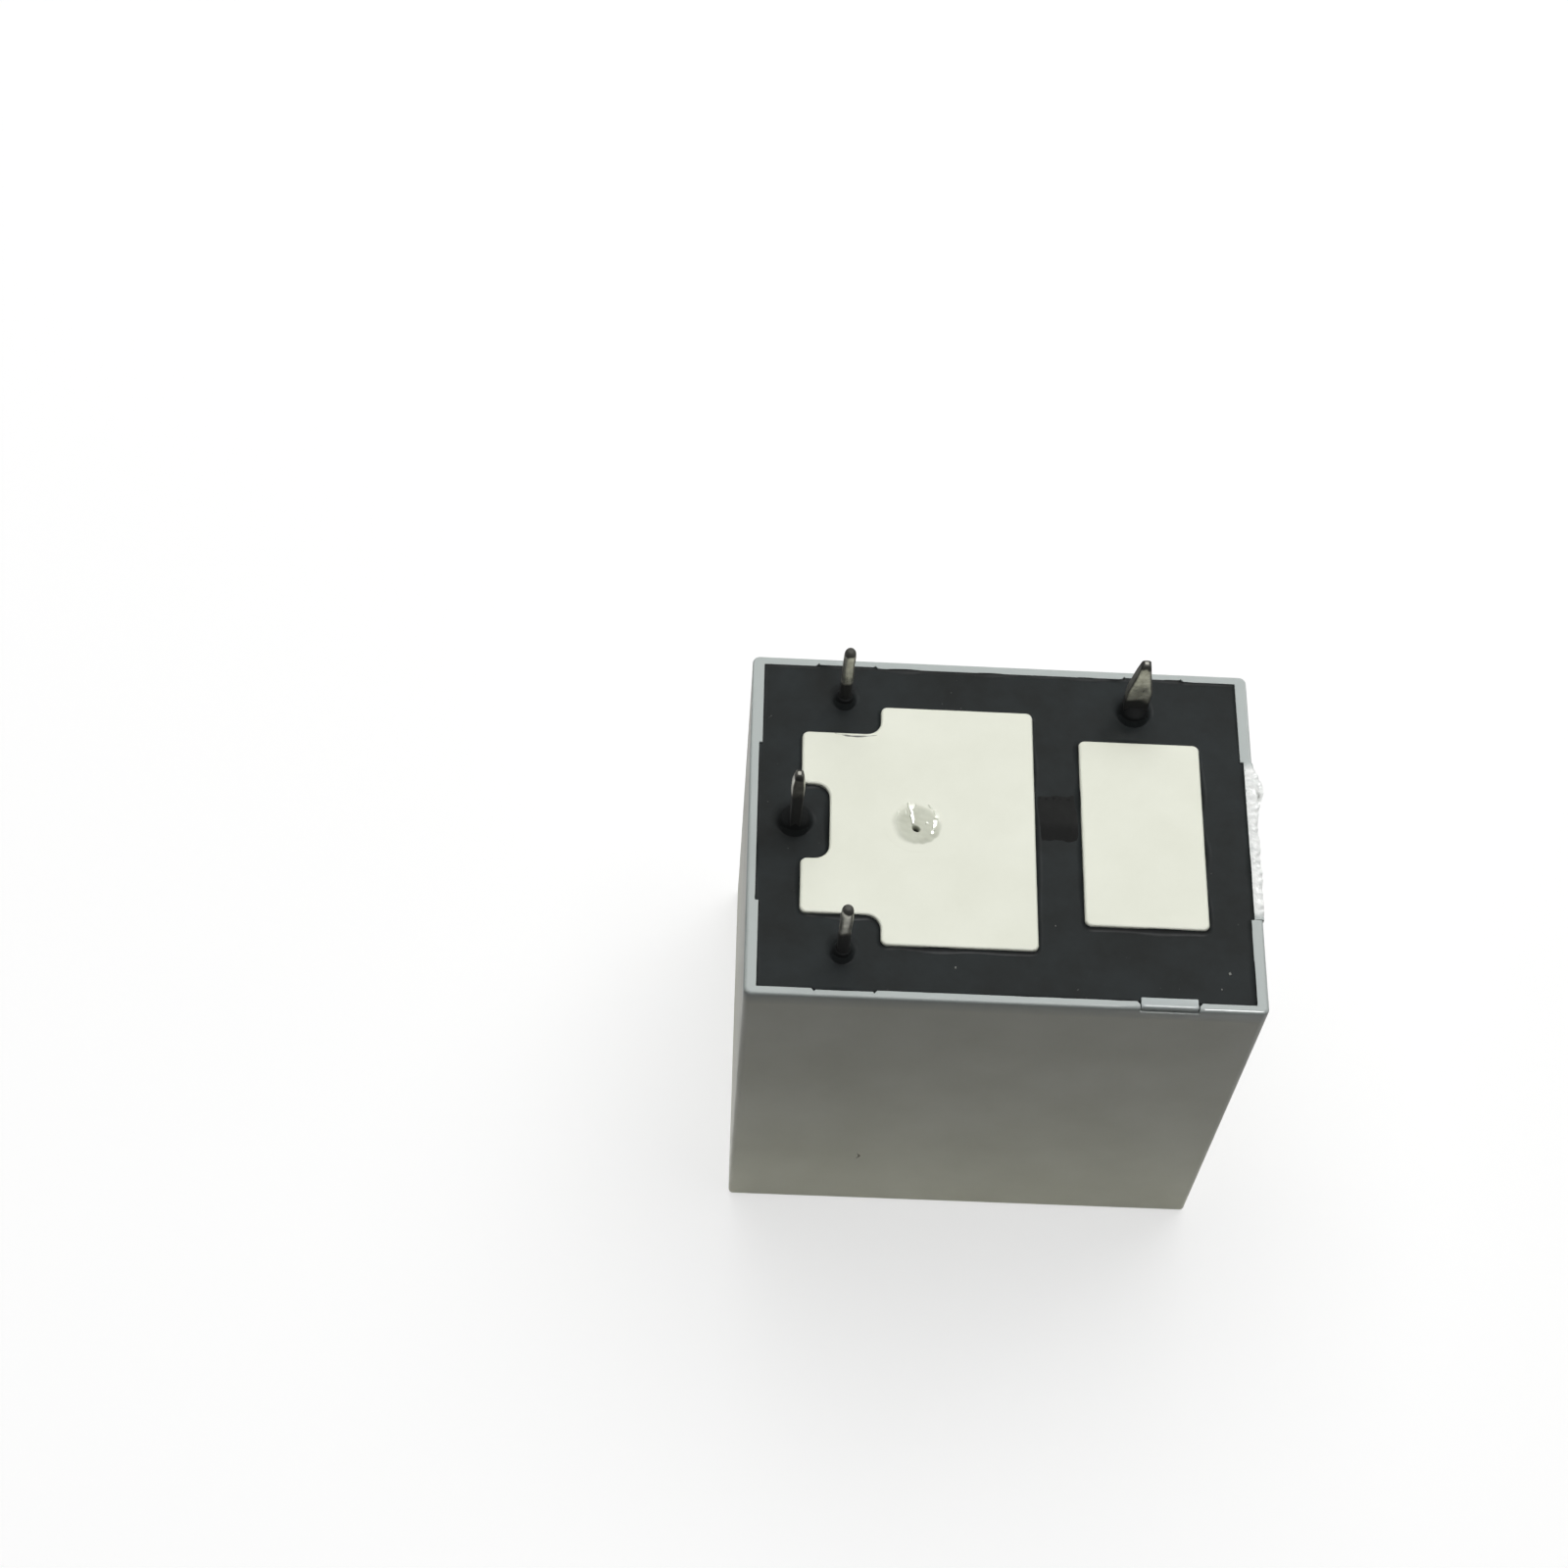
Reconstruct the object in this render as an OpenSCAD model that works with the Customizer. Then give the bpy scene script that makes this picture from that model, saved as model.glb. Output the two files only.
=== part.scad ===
// Sealed printed-circuit power relay with one normally open contact.
// It stands on the closed face of its cover with the pins up, so the mechanism hangs below the base.
// Sizes are millimetres. X runs along the body towards the contact end, Y across it, Z towards the pins.

/* [Cover] */
// Outer length of the cover at its rim
cover_length = 21; // [19:0.1:23]
// Outer width of the cover at its rim
cover_width = 16; // [14.4:0.1:18]
// Height from the closed face to the rim
cover_height = 20.2; // [19:0.1:23]
// How far each side leans in towards the closed face
cover_draft = 0.1; // [0:0.02:0.16]
// Thickness of the two end walls
end_wall = 0.8; // [0.65:0.05:0.9]
// Thickness of the two long walls
side_wall = 0.7; // [0.6:0.05:0.8]
// Thickness of the closed face
roof = 0.8; // [0.6:0.05:1.2]
// Radius of the upright outer edges
corner_radius = 0.3; // [0.28:0.02:0.8]
// Radius of the edge round the closed face
edge_radius = 0.16; // [0.1:0.02:0.3]

/* [Rim] */
// Wall left at the rim of the end walls
rim_end = 0.5; // [0.4:0.02:0.6]
// Wall left at the rim of the long walls
rim_side = 0.36; // [0.32:0.02:0.5]
// Depth of the pocket in the rim of each end wall
end_pocket = 0.14; // [0.08:0.02:0.32]
// Length of the pocket in the rim of each end wall
end_pocket_length = 7.5; // [4:0.1:9]
// Depth of the pockets in the rim of the long walls
side_pocket = 0.06; // [0.04:0.02:0.24]
// Length of the pockets in the rim of the long walls
side_pocket_length = 2.4; // [1.6:0.1:3]
// Distance of those pockets from the middle of the body
side_pocket_x = 6.5; // [5:0.1:7]
// Width of the nick at each end of those pockets
nick_width = 0.22; // [0.1:0.02:0.4]
// Depth of the nicks
nick_depth = 0.14; // [0.08:0.02:0.2]
// Depth of the pocket that holds the locating key
key_pocket = 0.2; // [0.1:0.02:0.24]
// How deep the rim is cut down in front of the key
key_drop = 0.3; // [0.2:0.05:0.5]
// How far the lip of the key stays behind the outside of the cover
key_set_back = 0.08; // [0.04:0.02:0.12]

/* [Closed face] */
// Diameter of the dish left by the moulding gate
gate_diameter = 3; // [2:0.1:3.2]
// Diameter of the flat floor of that dish
gate_floor = 1.9; // [1:0.1:1.9]
// Depth of the dish
gate_depth = 0.35; // [0.2:0.05:0.45]
// Distance of the dish from the contact end
gate_from_end = 1.9; // [1.8:0.1:3]
// Side of the square notch that holds the vent nib
notch_side = 3; // [2.2:0.1:3.4]
// Depth of that notch
notch_depth = 1.1; // [0.6:0.1:1.3]
// Radius of the inner corner of the notch
notch_radius = 1; // [0.4:0.1:1.4]
// Diameter of the vent nib
nib_diameter = 1.2; // [0.8:0.1:1.5]
// Height of the vent nib above the floor of the notch
nib_height = 0.9; // [0.3:0.1:1]

/* [Base] */
// Thickness of the base plate
base_plate = 1.2; // [0.9:0.1:1.6]
// Depth of the resin poured over the plate
resin_depth = 1.2; // [0.8:0.1:1.6]
// How far the resin stays below the rim
resin_drop = 0.08; // [0:0.02:0.2]
// How far the two seats stand above the rim
seat_rise = 0.15; // [0.05:0.05:0.4]
// Rounding along the upper edge of the seats
seat_round = 0.12; // [0.05:0.01:0.14]
// Radius of the outward corners of the seats
seat_corner = 0.28; // [0.2:0.02:0.4]
// Radius of the inward corners of the seats
seat_inside = 0.6; // [0.3:0.05:0.8]
// Middle of the channel between the two seats
channel_x = 2.25; // [1.8:0.05:2.8]
// Width of the channel between the two seats
channel_width = 1.9; // [1.2:0.1:2.4]
// Height of the rails that carry the yoke
rail_height = 0.3; // [0.2:0.05:0.5]
// Width of the rails that carry the yoke
rail_width = 1; // [0.6:0.1:1.6]
// Distance of those rails from the middle plane
rail_y = 3.2; // [2.6:0.1:4]
// Thickness of the barrier between coil and contacts
barrier = 0.6; // [0.4:0.05:0.8]
// Thickness of the guides on both sides of the contact terminal
guide_thickness = 0.35; // [0.25:0.05:0.38]
// How far the guides reach across the strip
guide_depth = 1.4; // [0.8:0.1:1.6]
// Thickness of the post and the foot that stop the released spring
stop_thickness = 0.8; // [0.6:0.05:0.9]
// Free height between the foot and the closed face
stop_room = 0.5; // [0.3:0.05:1]
// Diameter of the drop that seals the vent
drop_diameter = 2.1; // [1.6:0.1:2.6]
// Diameter of the vent hole under the drop
vent_diameter = 0.6; // [0.4:0.05:0.8]
// Distance of the vent from the coil pins along the body
vent_step = 3.1; // [2.9:0.1:4.5]
// Distance of the vent from the middle plane
vent_y = 0.2; // [-0.6:0.1:0.6]

/* [Pins] */
// Distance from the coil pins to the contact pin along the body
pin_row = 12.2; // [11.8:0.1:12.6]
// Distance between the two coil pins
pin_span = 12; // [11.8:0.1:12.4]
// Distance from the coil pins back to the common pin
common_step = 2; // [1.8:0.05:2.1]
// Shift of the pin pattern from the middle of the body
pin_shift = -0.5; // [-0.6:0.05:-0.3]
// Length of the pins above the seats
pin_length = 3.6; // [3:0.1:5]
// Diameter of the free end of the coil pins
coil_pin_diameter = 0.5; // [0.4:0.02:0.56]
// Length of the pointed end of the coil pins
coil_pin_point = 0.4; // [0.2:0.05:0.8]
// Diameter of the coil pins below the free end
coil_shank = 0.6; // [0.5:0.02:0.64]
// Side of the square that the coil pins are pressed to inside the resin
coil_square = 0.42; // [0.36:0.01:0.44]
// Length of that squared part
coil_square_length = 1; // [0.8:0.05:1.2]
// How far the resin climbs up the pins
resin_climb = 0.35; // [0.1:0.05:0.5]
// Width of the contact and common pins
blade_width = 1; // [0.8:0.05:1.1]
// Thickness of the terminal strips
strip_thickness = 0.4; // [0.3:0.02:0.5]
// Width left at the tip of the contact and common pins
blade_tip = 0.3; // [0.2:0.02:0.5]
// Length over which those pins taper
blade_taper = 2; // [1:0.1:2.4]

/* [Magnet] */
// Thickness of the yoke
yoke_thickness = 1.5; // [1.2:0.1:1.6]
// Width of the yoke
yoke_width = 9.8; // [8:0.1:10]
// Radius of the edge that the armature rocks on
knife_radius = 0.25; // [0.15:0.05:0.4]
// Diameter of the iron core
core_diameter = 5; // [4:0.1:5.4]
// Diameter of the pole at the end of the core
pole_diameter = 7.6; // [6:0.1:8.4]
// Thickness of the pole
pole_thickness = 0.9; // [0.6:0.1:1.2]
// Diameter of the riveted end of the core
core_rivet = 3.6; // [2.8:0.1:4]
// Outer diameter of the winding
winding_diameter = 10.2; // [9.4:0.1:10.4]
// Diameter of the winding wire where it leads out
wire_diameter = 0.16; // [0.1:0.02:0.2]
// Wall of the bobbin tube
bobbin_wall = 0.6; // [0.4:0.05:0.8]
// Thickness of the bobbin flanges
flange_thickness = 0.8; // [0.6:0.05:1]
// How far the flanges stand out beyond the winding
flange_lip = 0.4; // [0.2:0.05:0.5]
// Thickness of the armature
armature_thickness = 1.3; // [1:0.1:1.5]
// Width of the armature
armature_width = 9; // [8.2:0.1:10]
// How far the armature reaches past the pole
armature_reach = 1.2; // [0.6:0.1:1.4]

/* [Contacts] */
// Open gap between the contacts
contact_gap = 1.1; // [0.8:0.05:1.4]
// Diameter of the contact heads
contact_diameter = 3; // [2.4:0.1:3.2]
// Height of the contact heads
contact_height = 0.6; // [0.4:0.05:0.8]
// Diameter of the shanks of the contacts
contact_shank = 1.4; // [1:0.1:1.8]
// Distance of the contacts past the contact pin
contact_step = 1; // [0.9:0.05:1.15]
// Thickness of the contact spring
spring_thickness = 0.2; // [0.15:0.01:0.25]
// Width of the contact spring at its bend
spring_width = 8; // [7:0.1:8.6]
// Width of the contact spring at the contact
spring_tip_width = 3.8; // [3.4:0.1:4.4]
// Width of the window in the bend of the spring
spring_window = 3.4; // [2:0.1:3.8]
// Inner radius of the bend of the spring
bend_radius = 0.7; // [0.6:0.02:0.8]
// Radius of the rivets formed from the yoke and the armature
rivet_radius = 0.6; // [0.4:0.05:0.7]
// Radius of the heads of those rivets
rivet_head_radius = 0.95; // [0.8:0.05:1]
// Height of the heads of those rivets
rivet_head = 0.28; // [0.15:0.01:0.3]
// Distance of the yoke's rivets from the middle plane
yoke_rivet_y = 1.6; // [1.2:0.1:1.6]
// Distance of the armature's rivets from the middle plane
armature_rivet_y = 2.4; // [1.6:0.1:2.8]
// Distance of the armature's rivets from the rocking edge
armature_rivet_step = 3; // [2.6:0.1:4]
// Half width of the common strip where it is riveted
strip_half = 2.7; // [2.6:0.1:3.2]
// Half width of the neck of the common strip
neck_half = 1.5; // [1:0.1:2]
// Length of the riveted part of the common strip
strip_length = 5.6; // [4.6:0.1:6]
// Inner radius of the fold in the contact terminal
fold_radius = 0.4; // [0.2:0.05:0.6]

/* [Fits] */
// Clearance between moulded pieces and round a rivet
fit = 0.05; // [0.02:0.01:0.1]
// Clearance of a terminal in its slot
slot_fit = 0.02; // [0.01:0.01:0.05]
// Air left between metal faces that meet when the relay closes
closed_air = 0.05; // [0.03:0.01:0.1]

/* [Hidden] */
$fn = 48;
arc_steps = 6;
sink = 0.3;

// Body that the pin grid, the winding and the yoke are given for.
// They follow the cover where it is longer or wider than that body.
set_out_length = 21;
set_out_width = 16;
longer = cover_length - set_out_length;
wider = cover_width - set_out_width;

// Small steps and margins that the pieces keep from each other
coil_clear = 0.3;
barrier_gap = 0.2;
spring_margin = 0.1;
post_gap = 0.3;
foot_gap = 0.35;
armature_set_back = 0.1;
armature_bevel = 0.6;
tail_head = 0.3;
tail_lip = 0.3;
tail_taper = 0.1;
tab_margin = 0.2;
leg_set_back = 0.6;
neck_taper = 1;
strip_rise = 3.8;
window_run = 1.2;
window_rise = 1;
spring_taper = 1.5;
yoke_inside = 0.3;
yoke_outside = 1.35;
yoke_margin = 0.6;
core_chamfer = 0.15;
winding_shoulder = 0.3;
flange_corner = 0.6;
flange_lap = 0.55;
block_depth = 1.4;
block_behind = 0.85;
block_ahead = 1.4;
block_outside = 0.85;
post_length = 1.1;
guide_rise = 2.4;
pin_foot = 0.18;
blade_foot = 0.16;
blade_collar = 0.06;
coil_collar = 0.02;
drop_pocket = 0.25;
drop_crown = 0.06;
drop_plug = 0.5;
seat_to_pin_row = 0.35;
lobe_to_pin_row = 1.7;
seat_b_to_pin_row = 1.6;
lobe_to_common = 0.25;
notch_to_common = 1.42;
step_to_coil = 1.53;
seat_b_margin = 1.73;
notch_half = 1.75;
seat_lap = 1;
key_stand = 0.18;

// Levels from the closed face up
resin_top = cover_height - resin_drop;
plate_top = resin_top - resin_depth;
plate_bottom = plate_top - base_plate;
seat_top = cover_height + seat_rise;
pin_tip = seat_top + pin_length;
yoke_top = plate_bottom - rail_height;
spool_top = yoke_top - yoke_thickness;

// Stations along the body
coil_x = pin_shift - (pin_row + longer) / 2;
contact_pin_x = pin_shift + (pin_row + longer) / 2;
common_x = coil_x - common_step;
pin_y = (pin_span + wider) / 2;
winding_radius = (winding_diameter + longer) / 2;
core_radius = (core_diameter + longer / 2) / 2;
pole_radius = (pole_diameter + longer / 2) / 2;
yoke_half = (yoke_width + wider) / 2;
yoke_back = common_x + strip_thickness / 2;
yoke_front = yoke_back + yoke_thickness;
spring_front = common_x - strip_thickness / 2;
spring_back = spring_front - spring_thickness;
core_x = yoke_front + coil_clear + winding_radius;
flange_front = core_x + winding_radius + flange_lip;
flange_y = winding_radius + flange_lip;
contact_x = contact_pin_x + contact_step;
strip_back = contact_pin_x - blade_width / 2;
strip_front = contact_x + contact_diameter / 2;
spring_end = contact_x + contact_diameter / 2 + spring_margin;
barrier_x = flange_front + barrier_gap;

// The armature rocks about the rounded end of the yoke.
// It is level when the relay is closed, and it is drawn released.
hinge_x = yoke_back + knife_radius;
open_angle = asin((contact_gap - closed_air) / (contact_x - hinge_x));
armature_drop = knife_radius + closed_air;
spring_drop = armature_drop + armature_thickness;
foot_top = roof + stop_room + stop_thickness;
hinge_z = foot_top + closed_air + (spring_end - hinge_x) * sin(open_angle)
    + (spring_drop + spring_thickness) * cos(open_angle);
pole_z = hinge_z - knife_radius;
spool_bottom = pole_z + pole_thickness;
armature_back = yoke_back + armature_set_back;
armature_front = core_x + pole_radius + armature_reach;
armature_z = hinge_z - armature_drop;
blade_z = hinge_z - spring_drop;
fixed_z = blade_z + contact_height + closed_air;
tab_z = fixed_z + contact_height;

// Bend of the spring, tangent to the upright leg and to the released blade
bend_x = spring_front + bend_radius;
bend_rise = bend_radius - spring_drop;
bend_run = (bend_x - hinge_x - bend_rise * sin(open_angle)) / cos(open_angle);
bend_z = hinge_z - bend_run * sin(open_angle) + bend_rise * cos(open_angle);
bend_steps = 10;

// Common strip between the yoke and the upright leg of the spring
strip_low = pole_z + strip_rise;
strip_high = strip_low + strip_length;
leg_high = strip_high - leg_set_back;
yoke_rivet_z = (strip_low + leg_high) / 2;
armature_rivet_x = hinge_x + armature_rivet_step;
rivet_head_top = rivet_head_radius * 0.8;

// Corner blocks of the bobbin that hold the coil pins
block_low = spool_top - flange_thickness - block_depth;
block_inner_y = yoke_half + fit;
block_outer_y = pin_y + block_outside;
block_back = coil_x - block_behind;
block_front = coil_x + block_ahead;
post_low = block_low - post_length;
tube_radius = core_radius + slot_fit + bobbin_wall;

// Seats of the base, kept clear of every pin
seat_half = pin_y - seat_to_pin_row;
lobe_half = pin_y - lobe_to_pin_row;
lobe_back = common_x + lobe_to_common;
step_x = coil_x + step_to_coil;
notch_x = common_x + notch_to_common;
seat_a_front = channel_x - channel_width / 2;
seat_b_back = channel_x + channel_width / 2;
seat_b_front = cover_length / 2 - rim_end - seat_b_margin;
seat_b_half = pin_y - seat_b_to_pin_row;
vent_x = coil_x + vent_step;
key_half = side_pocket_length / 2 - fit;
key_inner_y = cover_width / 2 - rim_side - key_stand;

// The larger seat is drawn as one half that laps over the middle plane, and mirrored
seat_a_half = [
    [seat_a_front, -seat_lap], [seat_a_front, seat_half],
    [step_x, seat_half], [step_x, lobe_half],
    [lobe_back, lobe_half], [lobe_back, notch_half],
    [notch_x, notch_half], [notch_x, -seat_lap],
];
seat_a_heart = [(step_x + seat_a_front) / 2, (lobe_half + notch_half) / 2];
seat_b = box_points(seat_b_back, -seat_b_half, seat_b_front, seat_b_half);
seat_b_heart = [(seat_b_back + seat_b_front) / 2, 0];

// Corners of a rectangle, counter-clockwise
function box_points(x0, y0, x1, y1) = [[x1, y0], [x1, y1], [x0, y1], [x0, y0]];

// Left normal of an edge, which points inwards on a counter-clockwise outline
function inward(p, q) = let (d = (q - p) / norm(q - p)) [-d.y, d.x];

function turn(p, q, r) = cross(q - p, r - q);

// One corner moved inwards by inset and rounded, with a larger radius on an inward corner
function round_corner(p, q, r, inset, outward_radius, inward_radius) =
    let (
        n1 = inward(p, q),
        n2 = inward(q, r),
        convex = turn(p, q, r) > 0,
        radius = convex ? max(outward_radius - inset, 0.02) : inward_radius + inset,
        corner = q + (n1 + n2) * inset / (1 + n1 * n2),
        side = convex ? 1 : -1,
        middle = corner + (n1 + n2) * side * radius / (1 + n1 * n2),
        first = atan2(-side * n1.y, -side * n1.x),
        sweep = side * acos(n1 * n2)
    )
    [for (i = [0 : arc_steps])
        let (a = first + sweep * i / arc_steps)
        middle + radius * [cos(a), sin(a)]];

function outline(points, inset, outward_radius, inward_radius) =
    let (n = len(points))
    [for (i = [0 : n - 1])
        each round_corner(points[(i + n - 1) % n], points[i], points[(i + 1) % n],
            inset, outward_radius, inward_radius)];

// Arc of points in a plane, from one angle to another
function arc(centre, radius, from, to, steps) =
    [for (i = [0 : steps]) let (a = from + (to - from) * i / steps) centre + radius * [cos(a), sin(a)]];

// A point of the closed mechanism, as [x, z], turned to the released pose
function released(p) =
    let (run = p.x - hinge_x, rise = p.y - hinge_z)
    [hinge_x + run * cos(open_angle) + rise * sin(open_angle),
     hinge_z - run * sin(open_angle) + rise * cos(open_angle)];

// Solid through rounded copies of one outline, each given as [inset, height].
// Both ends are closed by fans from heart, a point that sees the whole outline.
module loft(points, heart, outward_radius, inward_radius, levels) {
    rings = [for (v = levels)
        [for (p = outline(points, v[0], outward_radius, inward_radius)) [p.x, p.y, v[1]]]];
    n = len(rings[0]);
    last = len(levels) - 1;
    low_heart = (last + 1) * n;
    high_heart = low_heart + 1;
    polyhedron(
        points = concat([for (r = rings) each r],
            [[heart.x, heart.y, levels[0][1]], [heart.x, heart.y, levels[last][1]]]),
        faces = concat(
            [for (i = [0 : n - 1]) [low_heart, i, (i + 1) % n]],
            [for (i = [0 : n - 1]) [high_heart, last * n + (i + 1) % n, last * n + i]],
            [for (k = [0 : last - 1]) for (i = [0 : n - 1])
                [k * n + i, (k + 1) * n + i, (k + 1) * n + (i + 1) % n, k * n + (i + 1) % n]]
        ),
        convexity = 6
    );
}

// Turns a piece of the closed mechanism to the released pose
module release() {
    translate([hinge_x, 0, hinge_z])
        rotate([0, open_angle, 0])
            translate([-hinge_x, 0, -hinge_z])
                children();
}

// Extrudes an outline drawn in X and Z, centred across the body
module across(width) {
    rotate([90, 0, 0]) translate([0, 0, -width / 2]) linear_extrude(width) children();
}

// Extrudes an outline drawn in Y and Z towards +X
module along(thickness) {
    rotate([90, 0, 90]) linear_extrude(thickness) children();
}

module centred_square(x, y) {
    square([x, y], center = true);
}

// Opening inside the rim, with its pockets, made smaller all round by inset
module rim_opening(inset) {
    half_x = cover_length / 2 - rim_end;
    half_y = cover_width / 2 - rim_side;
    centred_square(2 * (half_x - inset), 2 * (half_y - inset));
    centred_square(2 * (half_x + end_pocket - inset), end_pocket_length - 2 * inset);
    for (x = [-side_pocket_x, side_pocket_x])
        translate([x, 0])
            centred_square(side_pocket_length - 2 * inset, 2 * (half_y + side_pocket - inset));
    translate([side_pocket_x - side_pocket_length / 2 + inset, -half_y - key_pocket + inset])
        square([side_pocket_length - 2 * inset, half_y]);
}

// Small nicks of the rim at both ends of each side pocket
module rim_nicks() {
    half_y = cover_width / 2 - rim_side;
    for (x = [-side_pocket_x, side_pocket_x], end = [-1, 1], side = [0, 1])
        mirror([0, side])
            translate([x + end * side_pocket_length / 2, half_y])
                polygon([[-nick_width / 2, -sink], [nick_width / 2, -sink],
                         [nick_width / 2, 0], [0, nick_depth], [-nick_width / 2, 0]]);
}

// Cut through the rim in front of the locating key
module key_notch() {
    translate([side_pocket_x - side_pocket_length / 2, -cover_width / 2 - sink, cover_height - key_drop])
        cube([side_pocket_length, rim_side + sink, key_drop + sink]);
}

// Plan of the notch in the closed face, grown by a wall thickness
module notch_plan(grow) {
    x0 = cover_length / 2 - notch_side - grow;
    y0 = cover_width / 2 - notch_side - grow;
    past = 2;
    polygon(outline(box_points(x0, y0, cover_length / 2 + past, cover_width / 2 + past),
        0, notch_radius + grow, notch_radius));
}

module cover_skin() {
    half_x = cover_length / 2;
    half_y = cover_width / 2;
    edge = [for (a = [0 : 22.5 : 90])
        let (z = edge_radius * (1 - cos(a)))
        [edge_radius * (1 - sin(a)) + cover_draft * (1 - z / cover_height), z]];
    loft(box_points(-half_x, -half_y, half_x, half_y), [0, 0], corner_radius, corner_radius,
        concat(edge, [[0, cover_height]]));
}

module cover_cavity() {
    half_x = cover_length / 2 - end_wall;
    half_y = cover_width / 2 - side_wall;
    difference() {
        translate([0, 0, roof])
            linear_extrude(cover_height)
                polygon(outline(box_points(-half_x, -half_y, half_x, half_y),
                    0, corner_radius, corner_radius));
        translate([0, 0, -roof]) linear_extrude(notch_depth + 2 * roof) notch_plan(end_wall);
    }
}

module cover() {
    gate_x = cover_length / 2 - gate_from_end;
    nib_x = cover_length / 2 - notch_side / 2;
    nib_y = cover_width / 2 - notch_side / 2;
    color("ghostwhite") {
        difference() {
            cover_skin();
            cover_cavity();
            translate([0, 0, plate_bottom]) linear_extrude(cover_height) rim_opening(0);
            translate([0, 0, plate_top]) linear_extrude(cover_height) rim_nicks();
            key_notch();
            translate([0, 0, -roof]) linear_extrude(notch_depth + roof) notch_plan(0);
            translate([gate_x, 0, 0])
                cylinder(h = gate_depth, d1 = gate_diameter, d2 = gate_floor);
        }
        translate([nib_x, nib_y, notch_depth - nib_height])
            cylinder(h = nib_height, d1 = nib_diameter * 0.9, d2 = nib_diameter);
    }
}

module seat(points, heart) {
    edge = [for (a = [0 : 22.5 : 90])
        [seat_round * (1 - cos(a)), seat_top - seat_round * (1 - sin(a))]];
    loft(points, heart, seat_corner, seat_inside, concat([[0, plate_top - sink]], edge));
}

module seat_plans() {
    for (side = [0, 1])
        mirror([0, side]) polygon(outline(seat_a_half, 0, seat_corner, seat_inside));
    polygon(outline(seat_b, 0, seat_corner, seat_inside));
}

// Locating key that closes the pocket where no pin comes out
module key_plan() {
    translate([side_pocket_x - key_half, -cover_width / 2 + rim_side - key_pocket + fit])
        square([2 * key_half, cover_width / 2 - rim_side + key_pocket - fit - key_inner_y]);
}

// Lip of the key, over the edge of the rim that is cut down
module key_lip() {
    translate([side_pocket_x - key_half, -cover_width / 2 + key_set_back, cover_height - key_drop + fit])
        cube([2 * key_half, cover_width / 2 - key_set_back - key_inner_y, key_drop - fit]);
}

// Post behind the tip of the spring, with a foot that the released spring lies on
module stop_post() {
    post_back = spring_end + post_gap;
    post_front = post_back + stop_thickness;
    foot_back = contact_x + contact_shank / 2 + foot_gap;
    across(spring_tip_width)
        polygon([
            [post_back, plate_bottom + sink], [post_back, foot_top],
            [foot_back, foot_top], [foot_back, foot_top - stop_thickness],
            [post_front, foot_top - stop_thickness], [post_front, plate_bottom + sink],
        ]);
}

// Guides on both sides of the contact terminal
module terminal_guides() {
    guide_low = tab_z + strip_thickness + guide_rise;
    for (x = [strip_back - slot_fit - guide_thickness, strip_front + slot_fit])
        translate([x, pin_y - guide_depth / 2, guide_low])
            cube([guide_thickness, guide_depth, plate_bottom + sink - guide_low]);
}

// Slot through the base plate for a terminal of the given section
module terminal_slot(x, y, width, depth) {
    translate([x, y, plate_bottom + base_plate / 2])
        cube([width + 2 * slot_fit, depth + 2 * slot_fit, 2 * base_plate], center = true);
}

module base() {
    color("ivory")
        difference() {
            union() {
                translate([0, 0, plate_bottom]) linear_extrude(base_plate) rim_opening(fit);
                for (side = [0, 1])
                    mirror([0, side, 0]) seat(seat_a_half, seat_a_heart);
                seat(seat_b, seat_b_heart);
                translate([0, 0, plate_top - sink])
                    linear_extrude(cover_height - plate_top + sink) key_plan();
                key_lip();
                for (y = [-rail_y, rail_y])
                    translate([yoke_front, y - rail_width / 2, yoke_top])
                        cube([core_x - yoke_front, rail_width, rail_height + sink]);
                translate([barrier_x, -flange_y, pole_z])
                    cube([barrier, 2 * flange_y, plate_bottom + sink - pole_z]);
                stop_post();
                terminal_guides();
            }
            for (y = [-pin_y, pin_y])
                translate([coil_x, y, plate_bottom - sink])
                    cylinder(h = base_plate + 2 * sink, d = coil_shank + 2 * slot_fit);
            terminal_slot(common_x, 0, strip_thickness, blade_width);
            terminal_slot(contact_pin_x, pin_y, blade_width, strip_thickness);
            translate([vent_x, vent_y, plate_bottom - sink])
                cylinder(h = seat_top - plate_bottom + 2 * sink, d = vent_diameter);
            translate([vent_x, vent_y, seat_top - drop_pocket])
                cylinder(h = drop_pocket + sink, d = drop_diameter);
        }
}

// Clear drop in its pocket, plugging the vent hole
module vent_seal() {
    radius = drop_diameter / 2;
    sphere_radius = (radius * radius + drop_crown * drop_crown) / (2 * drop_crown);
    half_angle = asin(radius / sphere_radius);
    color("whitesmoke")
        translate([vent_x, vent_y, seat_top])
            rotate_extrude()
                polygon(concat(
                    [[0, -drop_pocket - drop_plug], [vent_diameter / 2, -drop_pocket - drop_plug],
                     [vent_diameter / 2, -drop_pocket], [radius, -drop_pocket]],
                    arc([0, drop_crown - sphere_radius], sphere_radius, 90 - half_angle, 90, 8)
                ));
}

// Resin that climbs a little way up a pin of the given radius
module meniscus(x, y, radius, foot) {
    translate([x, y, resin_top - sink]) cylinder(h = sink, r = radius + foot);
    translate([x, y, resin_top]) cylinder(h = resin_climb, r1 = radius + foot, r2 = radius);
}

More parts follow.
